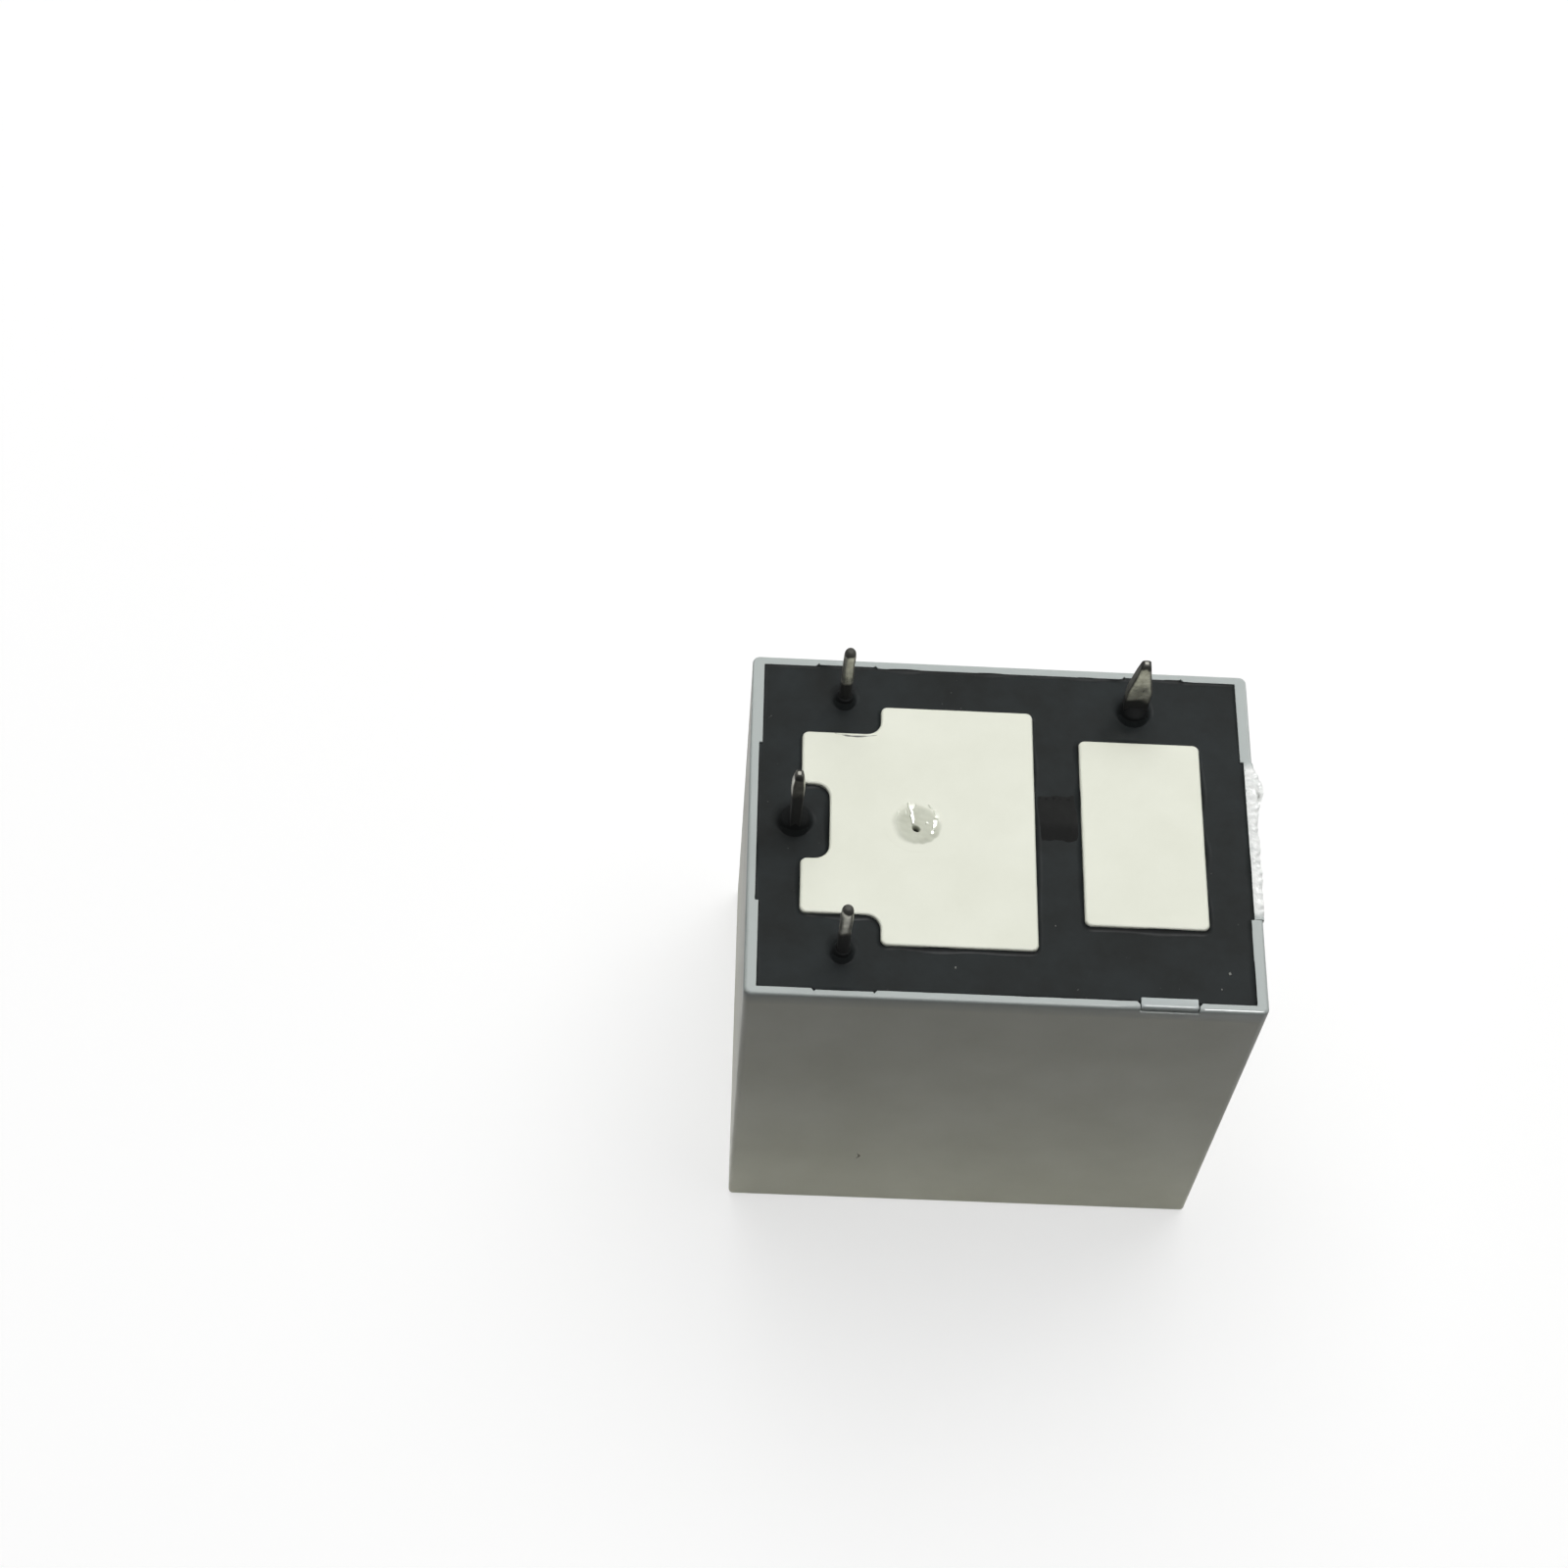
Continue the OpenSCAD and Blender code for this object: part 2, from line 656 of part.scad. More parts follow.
module sealing_resin() {
    color("#303436")
        difference() {
            union() {
                translate([0, 0, plate_top])
                    linear_extrude(resin_depth)
                        difference() {
                            union() {
                                rim_opening(0);
                                rim_nicks();
                            }
                            seat_plans();
                            key_plan();
                        }
                for (y = [-pin_y, pin_y])
                    meniscus(coil_x, y, coil_shank / 2 + coil_collar, pin_foot);
                meniscus(common_x, 0, blade_width / 2 + blade_collar, blade_foot);
                meniscus(contact_pin_x, pin_y, blade_width / 2 + blade_collar, blade_foot);
            }
            key_lip();
            coil_pin_a();
            coil_pin_b();
            common_terminal();
            contact_terminal();
        }
}

// Drawn wire pin: a shank held by the bobbin, a part pressed square so that the resin grips it,
// and a thinner free end above the resin
module coil_pin(y) {
    free_from = resin_top + resin_climb;
    square_from = free_from - coil_square_length;
    radius = coil_pin_diameter / 2;
    color("gainsboro")
        translate([coil_x, y, 0]) {
            translate([0, 0, post_low]) cylinder(h = square_from - post_low, d = coil_shank);
            translate([0, 0, square_from])
                linear_extrude(coil_square_length) square(coil_square, center = true);
            translate([0, 0, free_from]) cylinder(h = pin_tip - coil_pin_point - free_from, r = radius);
            translate([0, 0, pin_tip - coil_pin_point])
                cylinder(h = coil_pin_point, r1 = radius, r2 = radius / 2);
        }
}

module coil_pin_a() {
    coil_pin(pin_y);
}

module coil_pin_b() {
    coil_pin(-pin_y);
}

// Outline of a flat pin above the base plate, coined to a narrow tip
module blade_plan() {
    polygon([
        [-blade_width / 2, plate_bottom], [blade_width / 2, plate_bottom],
        [blade_width / 2, pin_tip - blade_taper], [blade_tip / 2, pin_tip],
        [-blade_tip / 2, pin_tip], [-blade_width / 2, pin_tip - blade_taper],
    ]);
}

// Edge view of a flat pin, thinned on both faces at the tip
module blade_edge() {
    coined = strip_thickness / 2;
    polygon([
        [-strip_thickness / 2, plate_bottom], [strip_thickness / 2, plate_bottom],
        [strip_thickness / 2, pin_tip - blade_taper / 3], [coined / 2, pin_tip],
        [-coined / 2, pin_tip], [-strip_thickness / 2, pin_tip - blade_taper / 3],
    ]);
}

module common_terminal() {
    color("gainsboro")
        translate([common_x, 0, 0]) {
            intersection() {
                translate([-strip_thickness / 2, 0, 0]) along(strip_thickness) blade_plan();
                across(blade_width) blade_edge();
            }
            difference() {
                translate([-strip_thickness / 2, 0, 0])
                    along(strip_thickness)
                        polygon([
                            [-strip_half, strip_low], [strip_half, strip_low],
                            [strip_half, strip_high], [neck_half, strip_high + neck_taper],
                            [neck_half, plate_bottom], [-neck_half, plate_bottom],
                            [-neck_half, strip_high + neck_taper], [-strip_half, strip_high],
                        ]);
                for (y = [-yoke_rivet_y, yoke_rivet_y])
                    translate([-strip_thickness, y, yoke_rivet_z])
                        rotate([0, 90, 0])
                            cylinder(h = 2 * strip_thickness, r = rivet_radius + fit);
            }
        }
}

// Folded strip: a pin, an upright web and a tab that carries the fixed contact
module contact_terminal() {
    outer = fold_radius + strip_thickness;
    face = pin_y + strip_thickness / 2;
    web = pin_y - strip_thickness / 2;
    tab_end = -contact_diameter / 2 - tab_margin;
    fold = [face - outer, tab_z + outer];
    color("burlywood")
        difference() {
            union() {
                translate([strip_back, 0, 0])
                    along(strip_front - strip_back)
                        polygon(concat(
                            [[tab_end, tab_z]],
                            arc(fold, outer, -90, 0, arc_steps),
                            [[face, plate_bottom], [web, plate_bottom]],
                            arc(fold, fold_radius, 0, -90, arc_steps),
                            [[tab_end, tab_z + strip_thickness]]
                        ));
                translate([contact_pin_x, pin_y, 0])
                    intersection() {
                        across(strip_thickness) blade_plan();
                        translate([-blade_width / 2, 0, 0]) along(blade_width) blade_edge();
                    }
            }
            translate([contact_x, 0, tab_z - strip_thickness])
                cylinder(h = 3 * strip_thickness, r = contact_shank / 2 + slot_fit);
        }
}

// Contact rivet along +Z: head, shank through a sheet, and a tail closed over the far side
module contact_rivet(sheet) {
    crown = contact_height / 4;
    tail_radius = contact_shank / 2 + tail_lip;
    rotate_extrude()
        polygon([
            [0, contact_height], [contact_diameter / 2 - crown * 2, contact_height],
            [contact_diameter / 2, contact_height - crown], [contact_diameter / 2, 0],
            [contact_shank / 2, 0], [contact_shank / 2, -sheet],
            [tail_radius, -sheet], [tail_radius - tail_taper, -sheet - tail_head],
            [0, -sheet - tail_head],
        ]);
}

module fixed_contact() {
    color("silver")
        translate([contact_x, 0, tab_z]) rotate([180, 0, 0]) contact_rivet(strip_thickness);
}

module moving_contact() {
    color("silver")
        release() translate([contact_x, 0, blade_z]) contact_rivet(spring_thickness);
}

// Leaf that is riveted to the yoke, bends round its end and carries the armature and the moving contact
module contact_spring() {
    bend_to = 270 - open_angle;
    outer = bend_radius + spring_thickness;
    taper_from = armature_front - spring_taper;
    past = 1;
    color("goldenrod")
        difference() {
            intersection() {
                across(spring_width)
                    polygon(concat(
                        [[spring_back, leg_high]],
                        arc([bend_x, bend_z], outer, 180, bend_to, bend_steps),
                        [released([spring_end, blade_z - spring_thickness]), released([spring_end, blade_z])],
                        arc([bend_x, bend_z], bend_radius, bend_to, 180, bend_steps),
                        [[spring_front, leg_high]]
                    ));
                linear_extrude(cover_height)
                    polygon([
                        [spring_back - past, -spring_width / 2], [taper_from, -spring_width / 2],
                        [contact_x - contact_diameter / 2, -spring_tip_width / 2],
                        [spring_end, -spring_tip_width / 2], [spring_end, spring_tip_width / 2],
                        [contact_x - contact_diameter / 2, spring_tip_width / 2],
                        [taper_from, spring_width / 2], [spring_back - past, spring_width / 2],
                    ]);
            }
            translate([spring_back - past, -spring_window / 2, bend_z - 2 * outer])
                cube([hinge_x + window_run - spring_back + past, spring_window,
                    2 * outer + strip_low - bend_z - window_rise]);
            for (y = [-yoke_rivet_y, yoke_rivet_y])
                translate([spring_back - past, y, yoke_rivet_z])
                    rotate([0, 90, 0]) cylinder(h = 2 * past, r = rivet_radius + fit);
            release() {
                for (y = [-armature_rivet_y, armature_rivet_y])
                    translate([armature_rivet_x, y, blade_z - past])
                        cylinder(h = 2 * past, r = rivet_radius + fit);
                translate([contact_x, 0, blade_z - past])
                    cylinder(h = 2 * past, r = contact_shank / 2 + slot_fit);
            }
        }
}

// Soft-iron plate with a bevelled rear edge and two rivets formed from the sheet
module armature() {
    color("slategray")
        release() {
            across(armature_width)
                polygon([
                    [armature_back, armature_z],
                    [armature_back, armature_z - armature_thickness + armature_bevel],
                    [armature_back + armature_bevel, armature_z - armature_thickness],
                    [armature_front, armature_z - armature_thickness], [armature_front, armature_z],
                ]);
            for (y = [-armature_rivet_y, armature_rivet_y])
                translate([armature_rivet_x, y, blade_z]) {
                    translate([0, 0, -spring_thickness])
                        cylinder(h = spring_thickness + sink, r = rivet_radius);
                    translate([0, 0, -spring_thickness - rivet_head])
                        cylinder(h = rivet_head, r1 = rivet_head_top, r2 = rivet_head_radius);
                }
        }
}

// Bent iron strip: one leg under the base holds the core, the other carries the armature on its rounded end
module yoke() {
    reach = core_x + core_radius + yoke_margin;
    bend = [yoke_back + yoke_outside, yoke_top - yoke_outside];
    crook = [yoke_front + yoke_inside, spool_top - yoke_inside];
    stack = strip_thickness + spring_thickness;
    color("slategray")
        difference() {
            union() {
                across(2 * yoke_half)
                    union() {
                        polygon(concat(
                            [[hinge_x, pole_z], [yoke_front, pole_z]],
                            arc(crook, yoke_inside, 180, 90, arc_steps),
                            [[reach, spool_top], [reach, yoke_top]],
                            arc(bend, yoke_outside, 90, 180, arc_steps),
                            [[yoke_back, hinge_z], [hinge_x, hinge_z]]
                        ));
                        translate([hinge_x, hinge_z]) circle(r = knife_radius);
                    }
                for (y = [-yoke_rivet_y, yoke_rivet_y])
                    translate([yoke_back, y, yoke_rivet_z])
                        rotate([0, -90, 0]) {
                            translate([0, 0, -sink]) cylinder(h = stack + sink, r = rivet_radius);
                            translate([0, 0, stack])
                                cylinder(h = rivet_head, r1 = rivet_head_radius, r2 = rivet_head_top);
                        }
            }
            translate([core_x, 0, spool_top - sink])
                cylinder(h = yoke_thickness + 2 * sink, r = core_rivet / 2 + slot_fit);
        }
}

// Turned core: a wide pole, the shank inside the bobbin and a thinner end riveted into the yoke
module iron_core() {
    color("silver")
        translate([core_x, 0, 0])
            rotate_extrude()
                polygon([
                    [0, pole_z], [pole_radius - core_chamfer, pole_z], [pole_radius, pole_z + core_chamfer],
                    [pole_radius, spool_bottom], [core_radius, spool_bottom], [core_radius, spool_top],
                    [core_rivet / 2, spool_top], [core_rivet / 2, yoke_top], [0, yoke_top],
                ]);
}

module flange(z, half) {
    translate([0, 0, z])
        linear_extrude(flange_thickness)
            polygon(outline(box_points(yoke_front, -half, flange_front, half),
                0, flange_corner, flange_corner));
}

module coil_bobbin() {
    relief = yoke_inside + fit;
    color("ivory")
        difference() {
            union() {
                translate([core_x, 0, spool_bottom]) cylinder(h = spool_top - spool_bottom, r = tube_radius);
                flange(spool_bottom, flange_y);
                flange(spool_top - flange_thickness, block_inner_y + flange_lap);
                for (side = [-1, 1])
                    translate([block_back, side > 0 ? block_inner_y : -block_outer_y, block_low])
                        cube([block_front - block_back, block_outer_y - block_inner_y,
                            plate_bottom - block_low]);
            }
            translate([core_x, 0, spool_bottom - sink])
                cylinder(h = spool_top - spool_bottom + 2 * sink, r = core_radius + slot_fit);
            across(2 * block_inner_y)
                polygon([
                    [yoke_front - sink, spool_top - relief - sink],
                    [yoke_front + relief + sink, spool_top + sink], [yoke_front - sink, spool_top + sink],
                ]);
            for (y = [-pin_y, pin_y])
                translate([coil_x, y, block_low - sink])
                    cylinder(h = plate_bottom - block_low + 2 * sink, d = coil_shank + 2 * slot_fit);
        }
}

// A round stretch of wire between two points
module wire(p, q) {
    d = q - p;
    length = norm(d);
    translate(p)
        rotate([0, acos(d.z / length), atan2(d.y, d.x)])
            cylinder(h = length, d = wire_diameter);
    translate(q) sphere(d = wire_diameter);
}

// Copper winding, with one lead drawn from it to each coil pin and wrapped round the post
module coil_winding() {
    wrap_radius = (coil_shank + wire_diameter) / 2 + slot_fit;
    wrap_z = (post_low + block_low) / 2;
    turns = 4;
    inner = tube_radius;
    outer = winding_radius;
    low = spool_bottom + flange_thickness;
    high = spool_top - flange_thickness;
    color("peru") {
        translate([core_x, 0, 0])
            rotate_extrude()
                polygon([
                    [inner, low], [outer - winding_shoulder, low], [outer, low + winding_shoulder],
                    [outer, high - winding_shoulder], [outer - winding_shoulder, high], [inner, high],
                ]);
        for (side = [-1, 1]) {
            exit_angle = 135;
            leaves = [core_x + outer * cos(exit_angle), side * outer * sin(exit_angle), wrap_z];
            wire(leaves - [0, side * wire_diameter, 0], [coil_x + wrap_radius, side * pin_y, wrap_z]);
            for (i = [0 : turns - 1])
                translate([coil_x, side * pin_y, wrap_z + (i - turns / 2) * wire_diameter * 0.9])
                    rotate_extrude() translate([wrap_radius, 0]) circle(d = wire_diameter);
        }
    }
}

cover();
base();
sealing_resin();
vent_seal();
coil_pin_a();
coil_pin_b();
common_terminal();
contact_terminal();
fixed_contact();
coil_bobbin();
coil_winding();
iron_core();
yoke();
armature();
contact_spring();
moving_contact();
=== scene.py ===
# %% [markdown]
# # A sealed power relay for printed circuits, standing with its pins up
# A relay of this kind is a white moulded cover, closed at one end and filled at the other with black resin.
# The resin seals the base, and two white seats of the base and four tinned pins come through it. The solids
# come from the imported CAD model, so they are already in their places, in metres. This lesson dresses them:
# it rounds their edges, adds what is too fine for CAD, and mixes the finishes.

# %% Load the CAD model as a fixed frame
from math import radians

import bmesh
import bpy
import numpy as np
from mathutils import Matrix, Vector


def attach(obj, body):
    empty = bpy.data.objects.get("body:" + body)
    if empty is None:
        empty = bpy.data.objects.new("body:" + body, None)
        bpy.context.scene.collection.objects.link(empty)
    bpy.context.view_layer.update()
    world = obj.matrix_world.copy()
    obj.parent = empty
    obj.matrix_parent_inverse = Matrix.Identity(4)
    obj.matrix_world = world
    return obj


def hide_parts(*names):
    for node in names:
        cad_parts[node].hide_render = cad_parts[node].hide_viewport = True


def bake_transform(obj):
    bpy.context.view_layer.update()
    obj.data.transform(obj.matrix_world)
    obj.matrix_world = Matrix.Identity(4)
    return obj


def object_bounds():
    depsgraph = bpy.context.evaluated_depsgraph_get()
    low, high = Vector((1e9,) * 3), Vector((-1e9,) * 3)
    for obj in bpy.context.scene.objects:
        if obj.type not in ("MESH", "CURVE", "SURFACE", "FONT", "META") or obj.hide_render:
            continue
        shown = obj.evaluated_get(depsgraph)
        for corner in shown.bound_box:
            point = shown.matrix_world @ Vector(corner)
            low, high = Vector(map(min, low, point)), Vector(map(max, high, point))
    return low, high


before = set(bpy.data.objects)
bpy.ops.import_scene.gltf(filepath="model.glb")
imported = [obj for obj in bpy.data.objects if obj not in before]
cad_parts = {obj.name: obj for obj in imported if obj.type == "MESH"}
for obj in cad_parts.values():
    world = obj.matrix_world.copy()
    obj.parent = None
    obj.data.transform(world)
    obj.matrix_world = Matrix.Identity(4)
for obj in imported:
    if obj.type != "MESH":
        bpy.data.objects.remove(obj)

MM, MICRON = 1e-3, 1e-6
cad_low, cad_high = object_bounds()
HALF_LENGTH, HALF_WIDTH = cad_high[0] / MM, cad_high[1] / MM
RESIN_TOP, RIM_TOP, SEAT_TOP, PIN_TIP = 20.12, 20.2, 20.35, 23.95
print("nodes:", sorted(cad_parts))
print("CAD box in mm:", [round((b - a) / MM, 2) for a, b in zip(cad_low, cad_high)])

# %% [markdown]
# ## The camera
# The picture was taken from above the front of the relay, a little to its left, and the relay stands right
# of the middle of the frame. The camera's place and its focal length were worked out from six corners of
# the cover in the picture, so no shift of the lens is needed. A camera looks along its own -Z, with X to
# the right and Y up, so its matrix is made from the direction to the right and the direction of view.

# %% Camera from its place, its view and its right-hand direction
IMAGE_SIDE, FOCAL_PIXELS = 1600, 2994.5
SENSOR_WIDTH = 36.0
CAMERA_PLACE = np.array([-13.101, -60.904, 123.764]) * MM
VIEW_DIRECTION = np.array([0.03328, 0.51725, -0.85519])
VIEW_RIGHT = np.array([0.99854, 0.01924, 0.05049])


def axes_matrix(place, right, forward):
    """Matrix whose columns are right, right x forward, and -forward, with the origin at place."""
    forward = np.asarray(forward, float) / np.linalg.norm(forward)
    right = np.asarray(right, float) - forward * np.dot(right, forward)
    right /= np.linalg.norm(right)
    matrix = np.eye(4)
    matrix[:3, :3] = np.column_stack([right, np.cross(right, forward), -forward])
    matrix[:3, 3] = place
    return Matrix(matrix.tolist())


lens = bpy.data.cameras.new("camera")
lens.sensor_fit, lens.sensor_width = "HORIZONTAL", SENSOR_WIDTH
lens.lens = SENSOR_WIDTH * FOCAL_PIXELS / IMAGE_SIDE
lens.clip_start, lens.clip_end = 0.005, 20.0
camera = bpy.data.objects.new("camera", lens)
camera.matrix_world = axes_matrix(CAMERA_PLACE, VIEW_RIGHT, VIEW_DIRECTION)
scene = bpy.context.scene
scene.collection.objects.link(camera)
scene.camera = camera
scene.view_settings.view_transform = "Standard"
print("lens %.1f mm" % lens.lens)

# %% [markdown]
# ## Nodes in a few words
# The sky, the floor and every finish are trees of nodes. A few helpers add the nodes that they all use and
# link them, so that what follows reads as sums, blends and ranges. Each takes plain values or outputs of
# other nodes.

# %% Helpers for node trees
def fresh_tree(owner):
    """Turns nodes on, empties the tree and returns it."""
    owner.use_nodes = True
    owner.node_tree.nodes.clear()
    return owner.node_tree


def feed(tree, source, socket):
    """Links an output to a socket, or puts a plain value on it."""
    if isinstance(source, bpy.types.NodeSocket):
        tree.links.new(source, socket)
    else:
        socket.default_value = source


def add(tree, kind, **values):
    """A node of that kind, with values or outputs fed to its named inputs."""
    made = tree.nodes.new(kind)
    for name, value in values.items():
        feed(tree, value, made.inputs[name.replace("_", " ")])
    return made


def arithmetic(tree, operation, first, second):
    """One sum, product or the like of two outputs or numbers."""
    made = tree.nodes.new("ShaderNodeMath")
    made.operation = operation
    feed(tree, first, made.inputs[0])
    feed(tree, second, made.inputs[1])
    return made.outputs[0]


def stretch(tree, value, low, high, to_low=0.0, to_high=1.0):
    """Maps low..high to to_low..to_high in a straight line and stops at both ends."""
    return add(tree, "ShaderNodeMapRange", Value=value, From_Min=low, From_Max=high,
               To_Min=to_low, To_Max=to_high).outputs[0]


def blend_colours(tree, factor, first, second):
    """first where the factor is 0 and second where it is 1. Each is a colour or an output."""
    made = tree.nodes.new("ShaderNodeMix")
    made.data_type = "RGBA"
    for source, number in ((factor, 0), (first, 6), (second, 7)):
        feed(tree, source, made.inputs[number])
    return made.outputs[2]


def own_place(tree):
    """Coordinates of the object itself, in metres."""
    return tree.nodes.new("ShaderNodeTexCoord").outputs["Object"]


def sum_of_shaders(tree, first, second):
    """Both shaders' light added up."""
    made = tree.nodes.new("ShaderNodeAddShader")
    feed(tree, first.outputs[0], made.inputs[0])
    feed(tree, second.outputs[0], made.inputs[1])
    return made


def end_by_ray(tree, lighting, seen, end):
    """Ends a tree with the shader lighting for diffuse light, and with seen for rays from the camera, a
    mirror or clear resin."""
    rays = tree.nodes.new("ShaderNodeLightPath").outputs
    direct = arithmetic(tree, "MAXIMUM", rays["Is Camera Ray"], rays["Is Glossy Ray"])
    direct = arithmetic(tree, "MAXIMUM", direct, rays["Is Transmission Ray"])
    choose = tree.nodes.new("ShaderNodeMixShader")
    for source, socket in zip((direct, lighting.outputs[0], seen.outputs[0]), choose.inputs):
        feed(tree, source, socket)
    add(tree, end, Surface=choose.outputs[0])


print("helpers for nodes:", add.__name__, arithmetic.__name__, stretch.__name__, blend_colours.__name__)

# %% [markdown]
# ## Light, floor and background
# The relay was lit softly from above and behind: the seats are bright, and the front of the cover has only
# about a quarter of their light. One wide lamp hangs above and behind, and a weak even sky fills the rest.
# The background is white for the camera, for reflections and for what is seen through clear resin, but not
# for diffuse light, so that it adds no light to the relay. The floor is shaded the same way, and keeps a
# soft shadow. Only the floor close to the relay throws light back at it, and glows a little there, so the
# walls are brightest near their feet. Two small lamps are seen in reflections alone: they put the gleams on
# the resin and the rim.

# %% Sky, floor and lamps
WHITE = (1, 1, 1, 1)
SKY_TINT, SKY_LEVEL = (0.97, 0.99, 1.0, 1), 0.015
FLOOR_NEAR, FLOOR_FAR = (0.93, 0.92, 0.775, 1), (0.04, 0.04, 0.04, 1)
NEAR_CENTRE, NEAR_TO, FAR_FROM = (-0.001, -0.004, 0.0), 0.006, 0.032
FOOT_GLOW = 0.15
PAPER, PAPER_GLOW = (0.42, 0.42, 0.42, 1), 0.62
FLOOR_HALF, FLOOR_DROP = 1.5, 0.00002

world = bpy.data.worlds.new("white_backdrop")
scene.world = world
tree = fresh_tree(world)
end_by_ray(tree, add(tree, "ShaderNodeBackground", Color=SKY_TINT, Strength=SKY_LEVEL),
           add(tree, "ShaderNodeBackground", Color=WHITE, Strength=1.0), "ShaderNodeOutputWorld")

floor_finish = bpy.data.materials.new("pale_floor")
tree = fresh_tree(floor_finish)
away = tree.nodes.new("ShaderNodeVectorMath")
away.operation = "DISTANCE"
feed(tree, own_place(tree), away.inputs[0])
feed(tree, NEAR_CENTRE, away.inputs[1])
near = stretch(tree, away.outputs["Value"], NEAR_TO, FAR_FROM, 1.0, 0.0)
thrown = blend_colours(tree, near, FLOOR_FAR, FLOOR_NEAR)
end_by_ray(tree,
           sum_of_shaders(tree, add(tree, "ShaderNodeBsdfDiffuse", Color=thrown),
                          add(tree, "ShaderNodeEmission", Color=thrown, Strength=FOOT_GLOW)),
           sum_of_shaders(tree, add(tree, "ShaderNodeBsdfDiffuse", Color=PAPER),
                          add(tree, "ShaderNodeEmission", Color=WHITE, Strength=PAPER_GLOW)),
           "ShaderNodeOutputMaterial")

floor_mesh = bpy.data.meshes.new("floor")
floor_mesh.from_pydata([(-FLOOR_HALF, -FLOOR_HALF, 0), (FLOOR_HALF, -FLOOR_HALF, 0),
                        (FLOOR_HALF, FLOOR_HALF, 0), (-FLOOR_HALF, FLOOR_HALF, 0)], [], [(0, 1, 2, 3)])
floor_mesh.materials.append(floor_finish)
floor = bpy.data.objects.new("floor", floor_mesh)
floor.location.z = -FLOOR_DROP
scene.collection.objects.link(floor)

LAMP_TARGET = np.array([0, 0, 0.02])


def lamp(name, place, size, watts, colour, in_mirrors):
    """Square lamp at place, turned to the relay. Its level on a face is about watts / (pi x side x side) x
    its share of that face's sky. A lamp in mirrors gives only gleams, and any other only the plain
    light."""
    data = bpy.data.lights.new(name, "AREA")
    data.shape, data.size, data.energy, data.color = "SQUARE", size, watts, colour
    made = bpy.data.objects.new(name, data)
    forward = LAMP_TARGET - np.array(place)
    made.matrix_world = axes_matrix(np.array(place), np.cross(forward, [0.0, 0.2, 1.0]), forward)
    made.visible_glossy, made.visible_diffuse = in_mirrors, not in_mirrors
    scene.collection.objects.link(made)


lamp("wide_lamp", (0.04, 0.20, 0.53), 0.60, 4.05, (1.0, 1.0, 0.995), False)
lamp("spark_lamp", (0.28, 0.33, 0.36), 0.08, 0.60, (1.0, 1.0, 1.0), True)
lamp("gleam_lamp", (0.11, -0.20, 0.51), 0.045, 3.00, (1.0, 1.0, 1.0), True)

# %% [markdown]
# ## Finishes that several materials share
# Moulded plastic, resin and metal all vary a little in tone, in gloss and in level. A node group makes such
# a variation once, from noise in the object's own coordinates, and each material places it with its own
# values. A group puts out only colours, values and heights; the shader itself stays in the material.

# %% Node groups: uneven tone, drawn metal and dust
COLOUR, NUMBER, VECTOR = "NodeSocketColor", "NodeSocketFloat", "NodeSocketVector"
GLOSS = [("Low Gloss", NUMBER), ("High Gloss", NUMBER)]
SURFACE = [("Color", COLOUR), ("Roughness", NUMBER), ("Height", NUMBER)]


def new_group(name, inputs, outputs):
    """An empty node group with these sockets. Returns the tree, its inputs and the sockets of its
    output."""
    group = bpy.data.node_groups.new(name, "ShaderNodeTree")
    for label, kind in inputs:
        group.interface.new_socket(label, in_out="INPUT", socket_type=kind)
    for label, kind in outputs:
        group.interface.new_socket(label, in_out="OUTPUT", socket_type=kind)
    return group, group.nodes.new("NodeGroupInput").outputs, group.nodes.new("NodeGroupOutput").inputs


def noise(tree, place, scale, detail, roughness=0.5):
    """Smooth noise of 0 to 1 at that place. scale is in features per metre."""
    return add(tree, "ShaderNodeTexNoise", Vector=place, Scale=scale, Detail=detail,
               Roughness=roughness).outputs[0]


def weighted(tree, first, first_share, second, second_share):
    """first x first_share + second x second_share."""
    return arithmetic(tree, "ADD", arithmetic(tree, "MULTIPLY", first, first_share),
                      arithmetic(tree, "MULTIPLY", second, second_share))


def uneven_tone_group():
    """Wide clouds choose between two colours and two levels of gloss, and fine grain on gentle waves gives
    the height: tone = 0.75 x clouds + 0.25 x grain, and height = 0.7 x grain + 0.3 x clouds."""
    inputs = [("Pale", COLOUR), ("Deep", COLOUR), ("Cloud Scale", NUMBER), ("Grain Scale", NUMBER)]
    group, given, made = new_group("uneven_tone", inputs + GLOSS, SURFACE)
    place = own_place(group)
    clouds = stretch(group, noise(group, place, given["Cloud Scale"], 4, 0.55), 0.32, 0.68)
    grain = noise(group, place, given["Grain Scale"], 2)
    tone = weighted(group, clouds, 0.75, grain, 0.25)
    feed(group, blend_colours(group, tone, given["Pale"], given["Deep"]), made["Color"])
    feed(group, stretch(group, tone, 0.0, 1.0, given["Low Gloss"], given["High Gloss"]), made["Roughness"])
    feed(group, weighted(group, grain, 0.7, clouds, 0.3), made["Height"])
    return group


